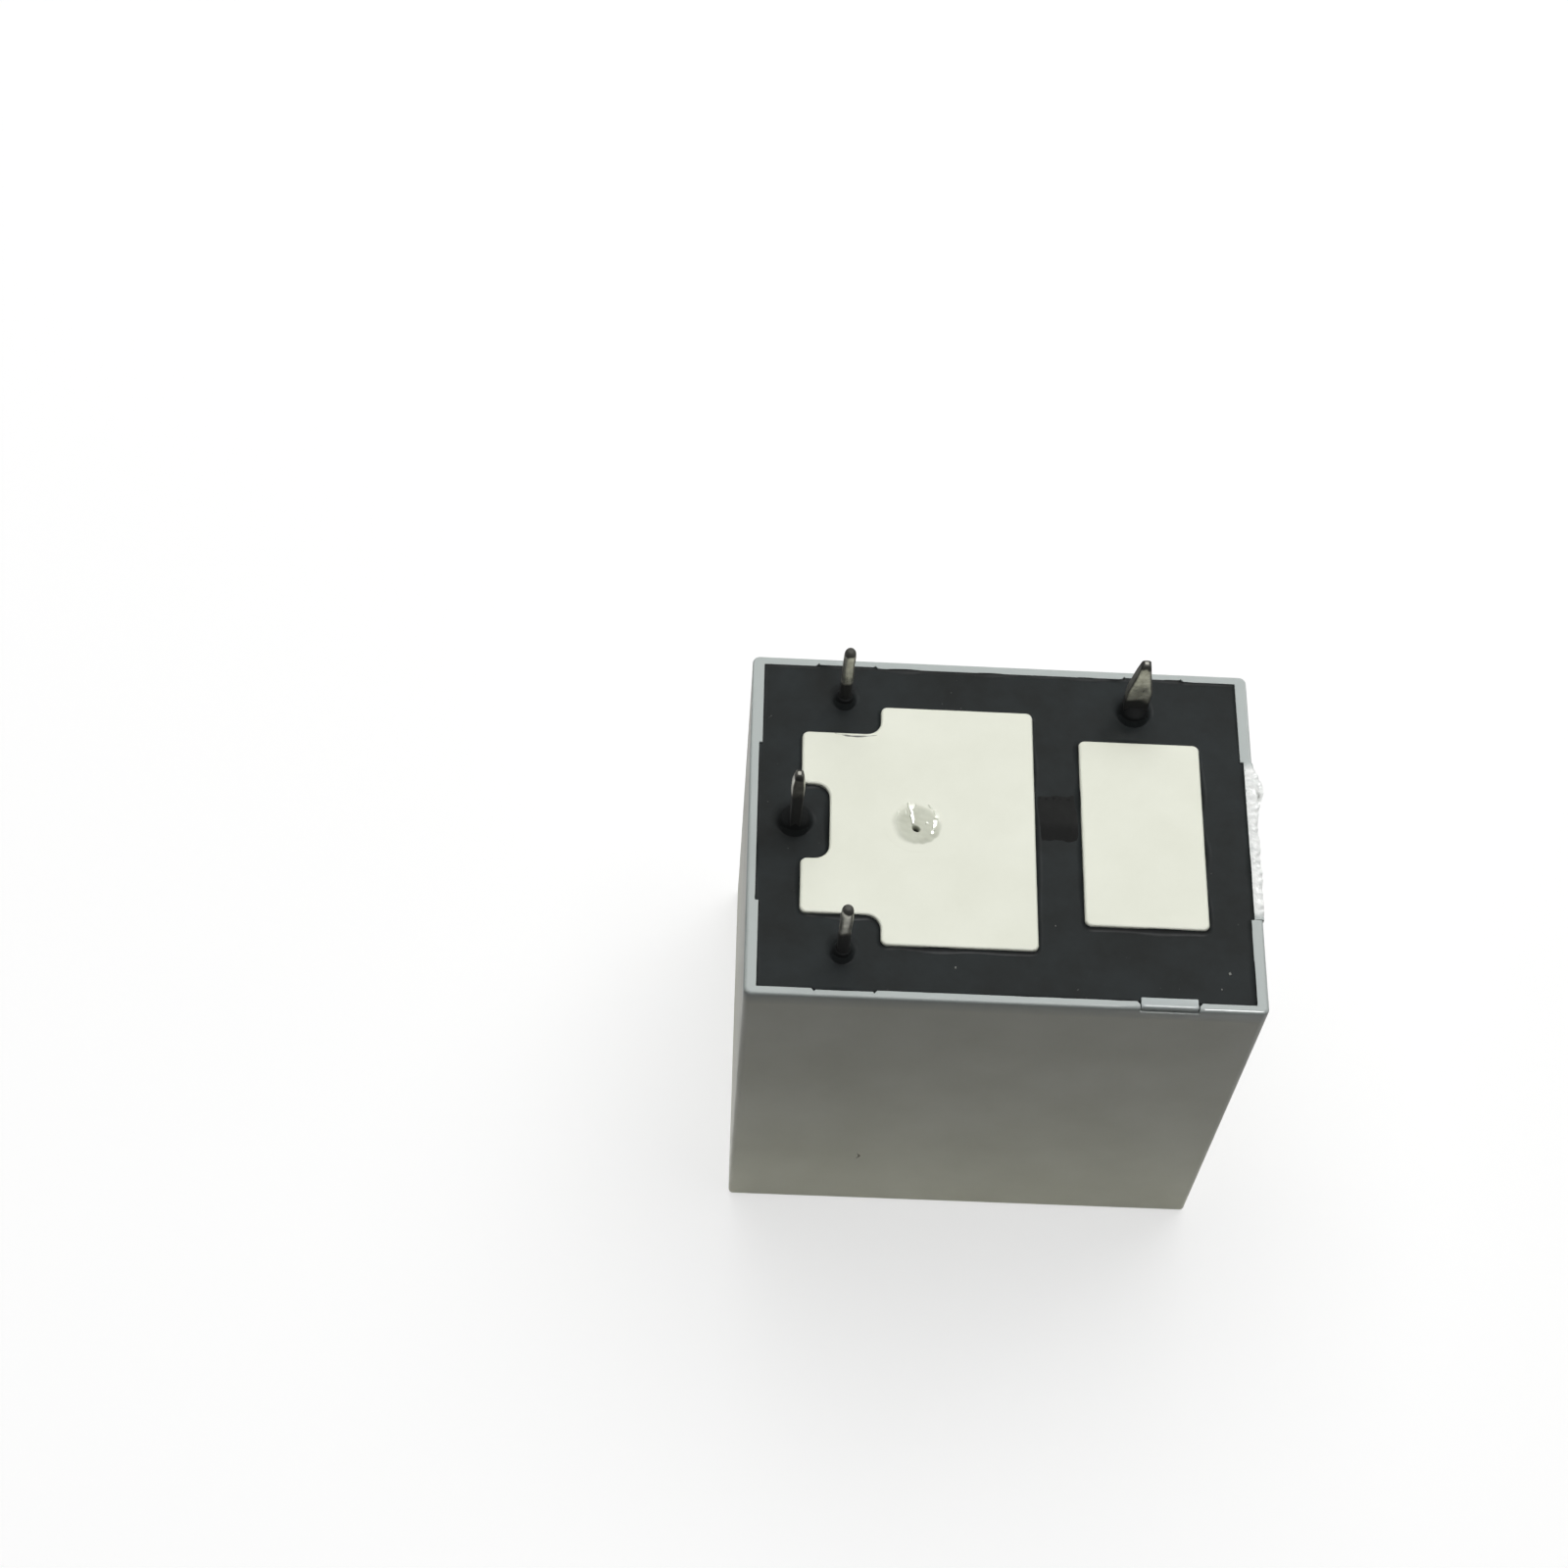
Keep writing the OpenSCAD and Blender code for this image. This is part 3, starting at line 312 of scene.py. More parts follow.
def drawn_metal_group():
    """Noise stretched along the direction of drawing makes streaks, and round noise makes stains. Streaks
    lower the gloss, stains choose between two colours, and height = streaks + 0.6 x stains."""
    inputs = [("Bright", COLOUR), ("Stain", COLOUR), ("Along", VECTOR), ("Stain Scale", NUMBER)]
    group, given, made = new_group("drawn_metal", inputs + GLOSS, SURFACE)
    place = own_place(group)
    drawn = group.nodes.new("ShaderNodeVectorMath")
    drawn.operation = "MULTIPLY"
    feed(group, place, drawn.inputs[0])
    feed(group, given["Along"], drawn.inputs[1])
    streaks = noise(group, drawn.outputs[0], 1.0, 3, 0.6)
    stains = stretch(group, noise(group, place, given["Stain Scale"], 3, 0.6), 0.36, 0.66)
    feed(group, blend_colours(group, stains, given["Bright"], given["Stain"]), made["Color"])
    feed(group, stretch(group, streaks, 0.3, 0.7, given["Low Gloss"], given["High Gloss"]), made["Roughness"])
    feed(group, weighted(group, streaks, 1.0, stains, 0.6), made["Height"])
    return group


def dust_group():
    """Fine noise above a limit leaves small separate grains, thinned out by wide noise."""
    group, given, made = new_group("dust", [("Grain Scale", NUMBER), ("Limit", NUMBER)], [("Mask", NUMBER)])
    place = own_place(group)
    grains = noise(group, place, given["Grain Scale"], 1, 0.4)
    areas = stretch(group, noise(group, place, 420, 2), 0.45, 0.65)
    over = arithmetic(group, "SUBTRACT", grains, given["Limit"])
    feed(group, arithmetic(group, "MULTIPLY", stretch(group, over, 0.0, 0.03), areas), made["Mask"])
    return group


TONE, METAL, DUST = uneven_tone_group(), drawn_metal_group(), dust_group()
print("groups:", [g.name for g in (TONE, METAL, DUST)])

# %% [markdown]
# ## How a material is put together
# A material is one shader with a group on its colour, its gloss and its bump. Some finishes change from
# place to place: the rim is painted greyer than the walls, as painted shade, and the feet of the pins are
# painted dark for a film of resin and the shade on it. Such a change is a mask, made from the place on the
# object or from an attribute of the mesh, that blends in a second colour and a second gloss.

# %% Helpers for materials
def srgb(red, green, blue):
    """Linear colour of a screen colour of 0 to 255, by the usual power law in two pieces."""
    c = np.array([red, green, blue], float) / 255
    return tuple(np.where(c <= 0.04045, c / 12.92, ((c + 0.055) / 1.055) ** 2.4)) + (1.0,)


def placed(tree, group, values):
    """A node that stands for the group, with these values on its inputs, in their order."""
    made = tree.nodes.new("ShaderNodeGroup")
    made.node_tree = group
    for socket, value in zip(made.inputs, values):
        socket.default_value = value
    return made


def finish(name, group, values, level, strength, **shader_values):
    """A material whose colour, gloss and level come from the group, with values for the group's inputs.
    level is the full range of its height in metres."""
    material = bpy.data.materials.new(name)
    tree = fresh_tree(material)
    surface = placed(tree, group, values).outputs
    bump = add(tree, "ShaderNodeBump", Strength=strength, Distance=level, Height=surface["Height"])
    shader = add(tree, "ShaderNodeBsdfPrincipled", Base_Color=surface["Color"],
                 Roughness=surface["Roughness"], Normal=bump.outputs[0], **shader_values)
    add(tree, "ShaderNodeOutputMaterial", Surface=shader.outputs[0])
    return material


def plastic(name, *values, level=4 * MICRON, strength=0.6, IOR=1.5, **shader_values):
    """Plastic or resin of uneven tone. The values are its pale and its deep colour, clouds and grains to
    the metre, and its lowest and highest roughness."""
    return finish(name, TONE, values, level, strength, IOR=IOR, **shader_values)


def metal(name, *values, level=6 * MICRON, strength=0.6, **shader_values):
    """Drawn metal. The values are its bright colour and that of its stains, streaks to the metre along X, Y
    and Z, stains to the metre, and its lowest and highest roughness."""
    return finish(name, METAL, values, level, strength, Metallic=1.0, **shader_values)


def node_of(material, kind):
    """The material's only node of that kind."""
    return next(n for n in material.node_tree.nodes if n.type == kind)


def changed_by(material, mask_of, colour, roughness=None, covers_metal=False):
    """Blends a colour, and a roughness if one is given, over a material where the mask that mask_of(tree)
    makes is 1. Without a colour, the colour of the seats is blended in. What covers metal isn't metal
    itself."""
    tree, shader = material.node_tree, node_of(material, "BSDF_PRINCIPLED")
    mask = mask_of(tree)
    below = shader.inputs["Base Color"].links[0].from_socket
    colour = colour or placed(tree, TONE, BASE_TONE).outputs["Color"]
    feed(tree, blend_colours(tree, mask, below, colour), shader.inputs["Base Color"])
    if roughness is not None:
        below = shader.inputs["Roughness"].links[0].from_socket
        change = arithmetic(tree, "MULTIPLY", mask, arithmetic(tree, "SUBTRACT", roughness, below))
        feed(tree, arithmetic(tree, "ADD", below, change), shader.inputs["Roughness"])
    if covers_metal:
        feed(tree, arithmetic(tree, "SUBTRACT", 1.0, mask), shader.inputs["Metallic"])


def dust_mask(grain_scale, limit):
    """A function that makes the mask of the dust group."""
    return lambda tree: placed(tree, DUST, (grain_scale, limit)).outputs["Mask"]


def place_mask(axis, low, high):
    """A function that makes a mask of 0 below low and 1 above high, in millimetres of the object's own X, Y
    or Z."""
    def mask_of(tree):
        axes = add(tree, "ShaderNodeSeparateXYZ", Vector=own_place(tree))
        return stretch(tree, axes.outputs[axis], low * MM, high * MM)
    return mask_of


def by_attribute(name):
    """A function that makes a mask from a piece's own attribute. It is 0 on a piece without it."""
    def mask_of(tree):
        attribute = tree.nodes.new("ShaderNodeAttribute")
        attribute.attribute_name = name
        return attribute.outputs["Fac"]
    return mask_of


def product(first, second):
    """A function that makes the product of two masks."""
    return lambda tree: arithmetic(tree, "MULTIPLY", first(tree), second(tree))


def lumpy(material, mask_of, scale, height):
    """Adds lumps of that height in metres, scale of them to the metre, to the level where the mask is 1."""
    tree, bump = material.node_tree, node_of(material, "BUMP")
    below = bump.inputs["Height"].links[0].from_socket
    lumps = arithmetic(tree, "MULTIPLY", noise(tree, own_place(tree), scale, 2), mask_of(tree))
    lumps = arithmetic(tree, "MULTIPLY", lumps, height / bump.inputs["Distance"].default_value)
    feed(tree, arithmetic(tree, "ADD", below, lumps), bump.inputs["Height"])


print("helpers for materials:", plastic.__name__, metal.__name__, changed_by.__name__, lumpy.__name__)

# %% [markdown]
# ## Plastics and resins
# The cover is a cool white plastic and the base a warmer one, both satin with a fine moulded grain. The
# rim is painted a greyer tone, which is painted shade, and it is smoother towards the contact end. The
# resin is nearly black and satin, with low waves where it set and a little dust. Painted shade darkens it
# where it climbs a wall or a pin, which the attribute shade tells.

# %% Plastics and resins
cover_white = plastic("cover_white_plastic", srgb(219, 220, 211), srgb(210, 211, 201), 260, 9000, 0.40, 0.52)
# Painted shade: the rim's top is painted a greyer, bluer tone than the cover's white, and it is glossier
# towards the contact end.
rim_painted_shade = place_mask("Z", RIM_TOP - 0.9, RIM_TOP - 0.1)
changed_by(cover_white, rim_painted_shade, srgb(172, 179, 177), 0.50)
changed_by(cover_white, product(rim_painted_shade, place_mask("X", 3.0, 8.0)), srgb(174, 181, 179), 0.30)
lumpy(cover_white, place_mask("Z", RIM_TOP - 0.2, RIM_TOP - 0.1), 2600, 16 * MICRON)

BASE_TONE = (srgb(231, 233, 219), srgb(225, 227, 212), 330, 7000, 0.42, 0.55)
base_white = plastic("base_white_plastic", *BASE_TONE)
# Painted shade: the key is moulded with the base, but its top is painted the grey of the rim.
key_painted_shade = plastic("key_plastic_painted_shade", srgb(180, 188, 187), srgb(170, 178, 177), 700, 9000, 0.30, 0.42)
bobbin_plastic = plastic("bobbin_plastic", srgb(222, 214, 190), srgb(206, 196, 168), 420, 6000, 0.40, 0.55,
                         level=5 * MICRON)

black_resin = plastic("black_sealing_resin", (0.0202, 0.0246, 0.0256, 1), (0.0107, 0.0119, 0.0114, 1), 420,
                      2600, 0.34, 0.50, level=22 * MICRON, strength=0.8, IOR=1.48, Specular_IOR_Level=0.11)
changed_by(black_resin, dust_mask(5200, 0.785), (0.055, 0.056, 0.054, 1))
# Painted shade: the attribute shade darkens the resin along the walls and round the feet of the pins.
changed_by(black_resin, by_attribute("shade"), (0.0030, 0.0034, 0.0034, 1), 0.70)
brown_resin = plastic("thin_brown_resin", (0.0128, 0.0136, 0.0130, 1), (0.0074, 0.0078, 0.0074, 1), 1300,
                      3800, 0.30, 0.50, level=18 * MICRON, strength=0.8, IOR=1.48, Specular_IOR_Level=0.10)
changed_by(brown_resin, by_attribute("shade"), (0.0015, 0.0015, 0.0015, 1))
clear_resin = plastic("cloudy_clear_resin", srgb(209, 212, 196), srgb(195, 198, 181), 1300, 4200, 0.05, 0.11,
                      level=3 * MICRON, strength=0.5)
changed_by(clear_resin, by_attribute("edge"), None, 0.48)
# Painted shade inside the pinhole.
changed_by(clear_resin, by_attribute("shade"), (0.012, 0.012, 0.010, 1))
print("materials:", [m.name for m in bpy.data.materials if m.name.endswith(("plastic", "resin"))])

# %% [markdown]
# ## Metals
# The pins have a dull tin coat with stains, and their feet are painted dark for a film of resin and the
# shade on it. What is inside the cover is finished too: zinc-dull iron, copper wire, spring bronze and
# silver contacts. Streaks follow the direction in which a piece was drawn or rolled, and on the winding
# they stand for the turns of the wire.

# %% Metals
tin_coat = metal("dull_tin_coat", srgb(184, 183, 174), srgb(146, 145, 136), (9000, 9000, 900), 2600,
                 0.27, 0.42, level=4 * MICRON, strength=0.5, Specular_IOR_Level=0.17)
# Painted dark by the attribute shade: the feet for a resin film and its shade, the narrow faces as painted
# dark reflections, and the tip.
changed_by(tin_coat, by_attribute("shade"), (0.013, 0.0135, 0.013, 1), 0.70, covers_metal=True)
tinned_strip = metal("tinned_brass_strip", srgb(194, 190, 177), srgb(174, 170, 155), (7000, 7000, 700), 1800,
                     0.22, 0.40, level=8 * MICRON)
silver_alloy = metal("silver_contact_alloy", srgb(232, 229, 222), srgb(196, 190, 178), (4000, 4000, 4000),
                     2400, 0.18, 0.34)
soft_iron = metal("zinc_plated_iron", srgb(184, 186, 188), srgb(162, 164, 165), (700, 5000, 5000), 900,
                  0.30, 0.52, level=12 * MICRON)
spring_bronze = metal("spring_bronze", srgb(212, 158, 102), srgb(194, 141, 89), (600, 6000, 6000), 1100,
                      0.20, 0.38)
copper_wire = metal("enamelled_copper_wire", srgb(204, 112, 62), srgb(150, 70, 36), (260, 260, 12500), 900,
                    0.16, 0.34, level=60 * MICRON, strength=0.9)
print("materials in all:", len([m for m in bpy.data.materials if m.use_nodes]))

# %% [markdown]
# ## The mechanism inside
# The magnet and the contacts are hidden by the cover, and their CAD shapes are right as they are. They only
# need their finishes, so that they look right when the cover is taken off or cut open.

# %% Finishes for the CAD nodes
NODE_FINISH = {
    "sealing_resin": black_resin, "common_terminal": tinned_strip, "contact_terminal": tinned_strip,
    "fixed_contact": silver_alloy, "moving_contact": silver_alloy, "coil_bobbin": bobbin_plastic,
    "coil_winding": copper_wire, "iron_core": soft_iron, "yoke": soft_iron, "armature": soft_iron,
    "coil_pin_a": tin_coat, "coil_pin_b": tin_coat, "cover": cover_white, "base": base_white,
    "vent_seal": clear_resin, "contact_spring": spring_bronze,
}
for node_name, material in NODE_FINISH.items():
    node_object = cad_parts[node_name]
    if not node_object.material_slots:
        node_object.data.materials.append(material)
    for place in node_object.material_slots:
        place.material = material
print("finished nodes:", len(NODE_FINISH))

# %% [markdown]
# ## Cover and base with softened edges
# A moulded edge is never perfectly sharp: it has a radius of a few hundredths of a millimetre, which
# catches the light as a thin line. The outside of the rim is rounder, most of all at the front. The CAD
# model has the large radii, and a copy of its mesh takes the small ones. The copy's loose triangles are
# merged and its flat faces joined first, so that Bevel finds only the real edges.

# %% Copies of CAD nodes with a small bevel
SAME_POINT, SAME_PLANE, SHARP = 1e-6, radians(0.4), radians(30)
RIM_PIECES, RIM_WITHIN = 12, 0.15
FRONT_AND_BACK, BEVEL_SHARES = [-6.5, 6.5], [1.0, 0.4]
KEY_FRONT, KEY_FOOT = -7.3, 19.0


def on_rim(edge):
    """True for an edge that lies along the outside of the rim's top, with both ends."""
    return all(v.co.z > (RIM_TOP - 0.01) * MM
               and (abs(v.co.x) > (HALF_LENGTH - RIM_WITHIN) * MM
                    or abs(v.co.y) > (HALF_WIDTH - RIM_WITHIN) * MM)
               for v in edge.verts)


def merged_copy(node_name, name):
    """A copy of a node's mesh, and the same copy opened for editing with its loose triangles merged."""
    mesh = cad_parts[node_name].data.copy()
    mesh.name = name
    work = bmesh.new()
    work.from_mesh(mesh)
    bmesh.ops.remove_doubles(work, verts=work.verts, dist=SAME_POINT)
    return mesh, work


def smooth_object(mesh, work, material):
    """Closes an edited copy and makes it an object of one material, shaded smooth."""
    work.to_mesh(mesh)
    work.free()
    mesh.materials.clear()
    mesh.materials.append(material)
    mesh.shade_smooth()
    made = bpy.data.objects.new(mesh.name, mesh)
    scene.collection.objects.link(made)
    return made


def softened(node_name, name, material, edge, outer_edge):
    """Merged copy of a node's mesh with flat faces joined, and a bevel on edges over 30 degrees. Along the
    outside of the rim it is outer_edge wide, in metres, at the front and narrows to 0.4 of that at the
    back. The rim's long edges are cut in pieces first, so that it narrows evenly. Elsewhere the bevel is
    edge wide. No sharp edge is left then, so all faces are shaded smooth, and the normals follow the
    largest face."""
    mesh, work = merged_copy(node_name, name)
    bmesh.ops.dissolve_limit(work, angle_limit=SAME_PLANE, verts=work.verts, edges=work.edges)
    long_edges = [e for e in work.edges if on_rim(e) and e.calc_length() > 2 * MM]
    bmesh.ops.subdivide_edges(work, edges=long_edges, cuts=RIM_PIECES - 1)
    weight = work.edges.layers.float.new("bevel_weight_edge")
    for e in work.edges:
        if e.calc_face_angle(0.0) > SHARP:
            middle_y = (e.verts[0].co.y + e.verts[1].co.y) / (2 * MM)
            share = np.interp(middle_y, FRONT_AND_BACK, BEVEL_SHARES)
            e[weight] = share if on_rim(e) else edge / outer_edge
    made = smooth_object(mesh, work, material)
    bevel = made.modifiers.new("moulded_edge", "BEVEL")
    bevel.width, bevel.segments, bevel.limit_method = outer_edge, 3, "WEIGHT"
    bevel.use_clamp_overlap = False
    even = made.modifiers.new("flat_faces_stay_flat", "WEIGHTED_NORMAL")
    even.weight = 100
    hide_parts(node_name)
    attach(made, "relay_body")
    print(name, "faces", len(mesh.polygons))
    return made


softened("cover", "cover_shell", cover_white, 0.02 * MM, 0.18 * MM)
base = softened("base", "base_block", base_white, 0.03 * MM, 0.16 * MM)

base.data.materials.append(key_painted_shade)
centres = np.zeros(len(base.data.polygons) * 3)
base.data.polygons.foreach_get("center", centres)
centres = centres.reshape(-1, 3) / MM
on_key = (centres[:, 1] < KEY_FRONT) & (centres[:, 2] > KEY_FOOT)
base.data.polygons.foreach_set("material_index", on_key.astype(np.int32))
print("faces of the locating key:", int(on_key.sum()))

# %% [markdown]
# ## Helpers for shapes worked out as grids
# Each new piece is a grid of points. A row is one turn of a profile, and the next row is the same profile a
# step further along a path. The faces follow from the grid's order, so no point is handled one at a time.

# %% Grid surfaces and smooth waves
SAME_GRID_POINT = 2e-7


def grid_piece(name, points, material, slot, wrap_rows=False, cap=True, smooth_angle=60, paint=None,
               replaced=None):
    """Mesh from points[row, column] in millimetres: each face joins (r, c), (r, c+1), (r+1, c+1), (r+1, c).
    The last column is joined to the first, and so is the last row with wrap_rows. Otherwise cap closes the
    two end rows with one face each. paint names arrays with a value of 0 to 1 for each point, kept as
    attributes. The piece belongs to the relay's body, and may stand in for a node of the frame,
    replaced."""
    rows, columns = points.shape[:2]
    index = np.arange(rows * columns).reshape(rows, columns)
    r0, c0 = np.meshgrid(np.arange(rows if wrap_rows else rows - 1), np.arange(columns), indexing="ij")
    r1, c1 = (r0 + 1) % rows, (c0 + 1) % columns
    faces = np.stack([index[r0, c0], index[r0, c1], index[r1, c1], index[r1, c0]], axis=-1)
    faces = faces.reshape(-1, 4).tolist()
    if cap and not wrap_rows:
        faces += [index[0, ::-1].tolist(), index[-1].tolist()]
    mesh = bpy.data.meshes.new(name)
    mesh.from_pydata((points.reshape(-1, 3) * MM).tolist(), [], faces)
    for label, values in (paint or {}).items():
        values = np.broadcast_to(values, points.shape[:2]).astype(np.float32)
        mesh.attributes.new(label, "FLOAT", "POINT").data.foreach_set("value", values.ravel())
    work = bmesh.new()
    work.from_mesh(mesh)
    bmesh.ops.remove_doubles(work, verts=work.verts, dist=SAME_GRID_POINT)
    bmesh.ops.recalc_face_normals(work, faces=work.faces)
    made = smooth_object(mesh, work, material)
    mesh.set_sharp_from_angle(angle=radians(smooth_angle))
    if replaced:
        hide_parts(replaced)
    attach(made, "relay_body")
    print(name, "points", rows * columns)


def waves(points, length, seed, terms=7):
    """Smooth noise of about -1 to 1: several sine waves of about that length in random directions, added up
    and divided by the root of their number."""
    chance = np.random.default_rng(seed)
    direction = chance.normal(size=(terms, 3))
    direction /= np.linalg.norm(direction, axis=1, keepdims=True)
    direction *= (2 * np.pi / length) * chance.uniform(0.7, 1.5, size=(terms, 1))
    return np.sin(points @ direction.T + chance.uniform(0, 2 * np.pi, terms)).sum(axis=-1) / np.sqrt(terms)


def ease(t):
    """Smooth step from 0 to 1: 3 t^2 - 2 t^3, with t held between 0 and 1."""
    t = np.clip(t, 0, 1)
    return t * t * (3 - 2 * t)


def xyz(x, y, z):
    """Points from their three coordinates, each spread over the whole grid."""
    return np.stack(np.broadcast_arrays(x, y, z), axis=-1)


def circle(count):
    """Cosines and sines of that many angles round a full turn."""
    angle = np.linspace(0, 2 * np.pi, count, endpoint=False)
    return np.cos(angle), np.sin(angle)


print("helpers for grids:", grid_piece.__name__, waves.__name__, ease.__name__, xyz.__name__)

# %% [markdown]
# ## Where the resin meets the seats and the rim
# Liquid resin climbs a little way up each wall before it sets, so the joint is a small hollow curve and not
# a sharp corner. The curve is a profile carried along the outline of the seat or of the rim's opening. An
# outline is a list of right-angled corners, and each corner becomes a quarter of a circle.

# %% Outlines with rounded corners, and the hollow curve along them
def rounded(corners, outward_radius, inward_radius, steps=8):
    """Points along a counter-clockwise outline of right angles, and the outward direction at each. A corner
    at c between unit directions d0 and d1 is the arc c + r (d1 - d0) + r (d0 sin a - d1 cos a)."""
    corners = np.asarray(corners, float)
    d0 = corners - np.roll(corners, 1, axis=0)
    d1 = np.roll(corners, -1, axis=0) - corners
    d0, d1 = (d / np.linalg.norm(d, axis=1, keepdims=True) for d in (d0, d1))
    turn = d0[:, 0] * d1[:, 1] - d0[:, 1] * d1[:, 0]
    radius = np.where(turn > 0, outward_radius, inward_radius)[:, None, None]
    a = np.linspace(0, np.pi / 2, steps)[None, :, None]
    d0, d1, c = d0[:, None, :], d1[:, None, :], corners[:, None, :]
    path = (c + radius * (d1 - d0) + radius * (d0 * np.sin(a) - d1 * np.cos(a))).reshape(-1, 2)
    tangent = (d0 * np.cos(a) + d1 * np.sin(a)).reshape(-1, 2)
    return path, np.stack([tangent[:, 1], -tangent[:, 0]], axis=1)


def spread(path, normal, step):
    """Puts points about step apart along a closed path, and turns the directions with them."""
    ahead = np.roll(path, -1, axis=0)
    length = np.linalg.norm(ahead - path, axis=1)
    at = np.concatenate([[0], np.cumsum(length)])
    want = np.linspace(0, at[-1], max(int(at[-1] / step), 8), endpoint=False)
    closed = np.vstack([path, path[:1]]), np.vstack([normal, normal[:1]])
    path, normal = (np.column_stack([np.interp(want, at, a[:, k]) for k in (0, 1)]) for a in closed)
    return path, normal / np.linalg.norm(normal, axis=1, keepdims=True)


CURVE_STEP, INTO_WALL = 0.11, 0.012
ABOVE_RESIN, INTO_RESIN = 0.002, 0.05


def hollow_curve(name, corners, side, reach, rise, seed, radii):
    """Ring of resin along an outline. From the wall out, its height is rise (1 - s)^2 over a width of
    reach, with slow waves in both. side is 1 outside the outline and -1 inside it. It is painted darkest
    at the wall, with painted shade."""
    path, normal = spread(*rounded(corners, *radii), CURVE_STEP)
    count = len(path)
    flat = np.column_stack([path, np.zeros(count)])
    uneven = 1 + 0.35 * waves(flat, 2.6, seed)[:, None]
    s = np.linspace(0, 1, 8)[None, :]
    out = np.concatenate([reach * s * uneven, np.full((count, 1), reach * 0.9), np.zeros((count, 1))], axis=1)
    up = np.concatenate([rise * (1 - s) ** 2 * uneven, np.full((count, 2), -INTO_RESIN)], axis=1)
    out -= INTO_WALL
    points = np.concatenate([path[:, None, :] + side * normal[:, None, :] * out[:, :, None],
                             (RESIN_TOP + ABOVE_RESIN + up)[:, :, None]], axis=2)
    # Painted shade, darkest against the wall.
    shade = np.concatenate([0.85 * (1 - s) ** 2, np.zeros((1, 2))], axis=1)
    grid_piece(name, points, black_resin, "black_resin", wrap_rows=True, paint={"shade": shade})


SEAT_A = [(1.3, -5.65), (1.3, 5.65), (-5.07, 5.65), (-5.07, 4.3), (-8.35, 4.3), (-8.35, 1.75), (-7.18, 1.75),
          (-7.18, -1.75), (-8.35, -1.75), (-8.35, -4.3), (-5.07, -4.3), (-5.07, -5.65)]
SEAT_B = [(8.27, -4.4), (8.27, 4.4), (3.2, 4.4), (3.2, -4.4)]
SEAT_CORNERS = (0.28, 0.6)
hollow_curve("resin_edge_large_seat", SEAT_A, 1, 0.20, 0.12, 1, SEAT_CORNERS)
hollow_curve("resin_edge_small_seat", SEAT_B, 1, 0.20, 0.12, 2, SEAT_CORNERS)

OPEN_X, OPEN_Y = 10.0, 7.64
END_POCKET_X, END_POCKET_HALF = 10.14, 3.75
SIDE_POCKET_Y, SIDE_POCKET_FROM, SIDE_POCKET_TO = 7.7, 5.3, 7.7
KEY_BACK, KEY_FROM, KEY_TO = -7.46, 5.35, 7.65
RIM_CORNERS = (0.02, 0.02)


def pocket(first_x, last_x, wall, bottom):
    """Corners of a pocket in a long wall, from its first to its last end."""
    return [(first_x, wall), (first_x, bottom), (last_x, bottom), (last_x, wall)]


contact_end = [(OPEN_X, -OPEN_Y), (OPEN_X, -END_POCKET_HALF), (END_POCKET_X, -END_POCKET_HALF),
               (END_POCKET_X, END_POCKET_HALF), (OPEN_X, END_POCKET_HALF), (OPEN_X, OPEN_Y)]
coil_end = [(-x, -y) for x, y in contact_end]
rim_opening = (contact_end + pocket(SIDE_POCKET_TO, SIDE_POCKET_FROM, OPEN_Y, SIDE_POCKET_Y)
               + pocket(-SIDE_POCKET_FROM, -SIDE_POCKET_TO, OPEN_Y, SIDE_POCKET_Y) + coil_end
               + pocket(-SIDE_POCKET_TO, -SIDE_POCKET_FROM, -OPEN_Y, -SIDE_POCKET_Y)
               + pocket(KEY_FROM, KEY_TO, -OPEN_Y, KEY_BACK))
hollow_curve("resin_edge_rim", rim_opening, -1, 0.17, 0.065, 3, RIM_CORNERS)

# %% [markdown]
# ## Resin round the pins
# Round each pin the resin has crept up a little and set in a blob, which is painted dark with shade. It
# runs from the pin's own section at the top to a wide ellipse at the foot, which lies more behind the pin
# than before it. Rings of points, one for each step from the pin outwards, make that change of outline easy
# to write down.

# %% Blobs of resin at the four pins
PIN_FEET = {"coil_pin_a": (-6.6, 6.0, 0.25, 0.25), "coil_pin_b": (-6.6, -6.0, 0.25, 0.25),
            "common_pin": (-8.6, 0.0, 0.20, 0.50), "contact_pin": (5.6, 6.0, 0.50, 0.20)}
FLAT_BLOB = {"collar": 0.78, "wall": 0.57, "radius_x": 1.12, "radius_y": 0.99, "back": 0.28}
WIRE_BLOB = {"collar": 0.50, "wall": 0.33, "radius_x": 0.88, "radius_y": 0.85, "back": 0.33}
BLOB_TURNS, BLOB_STEPS, COLLAR_SHARE = 72, 30, 0.2
WALL_HEIGHT, SKIN, BLOB_ROOT = 0.44, 0.015, 0.12


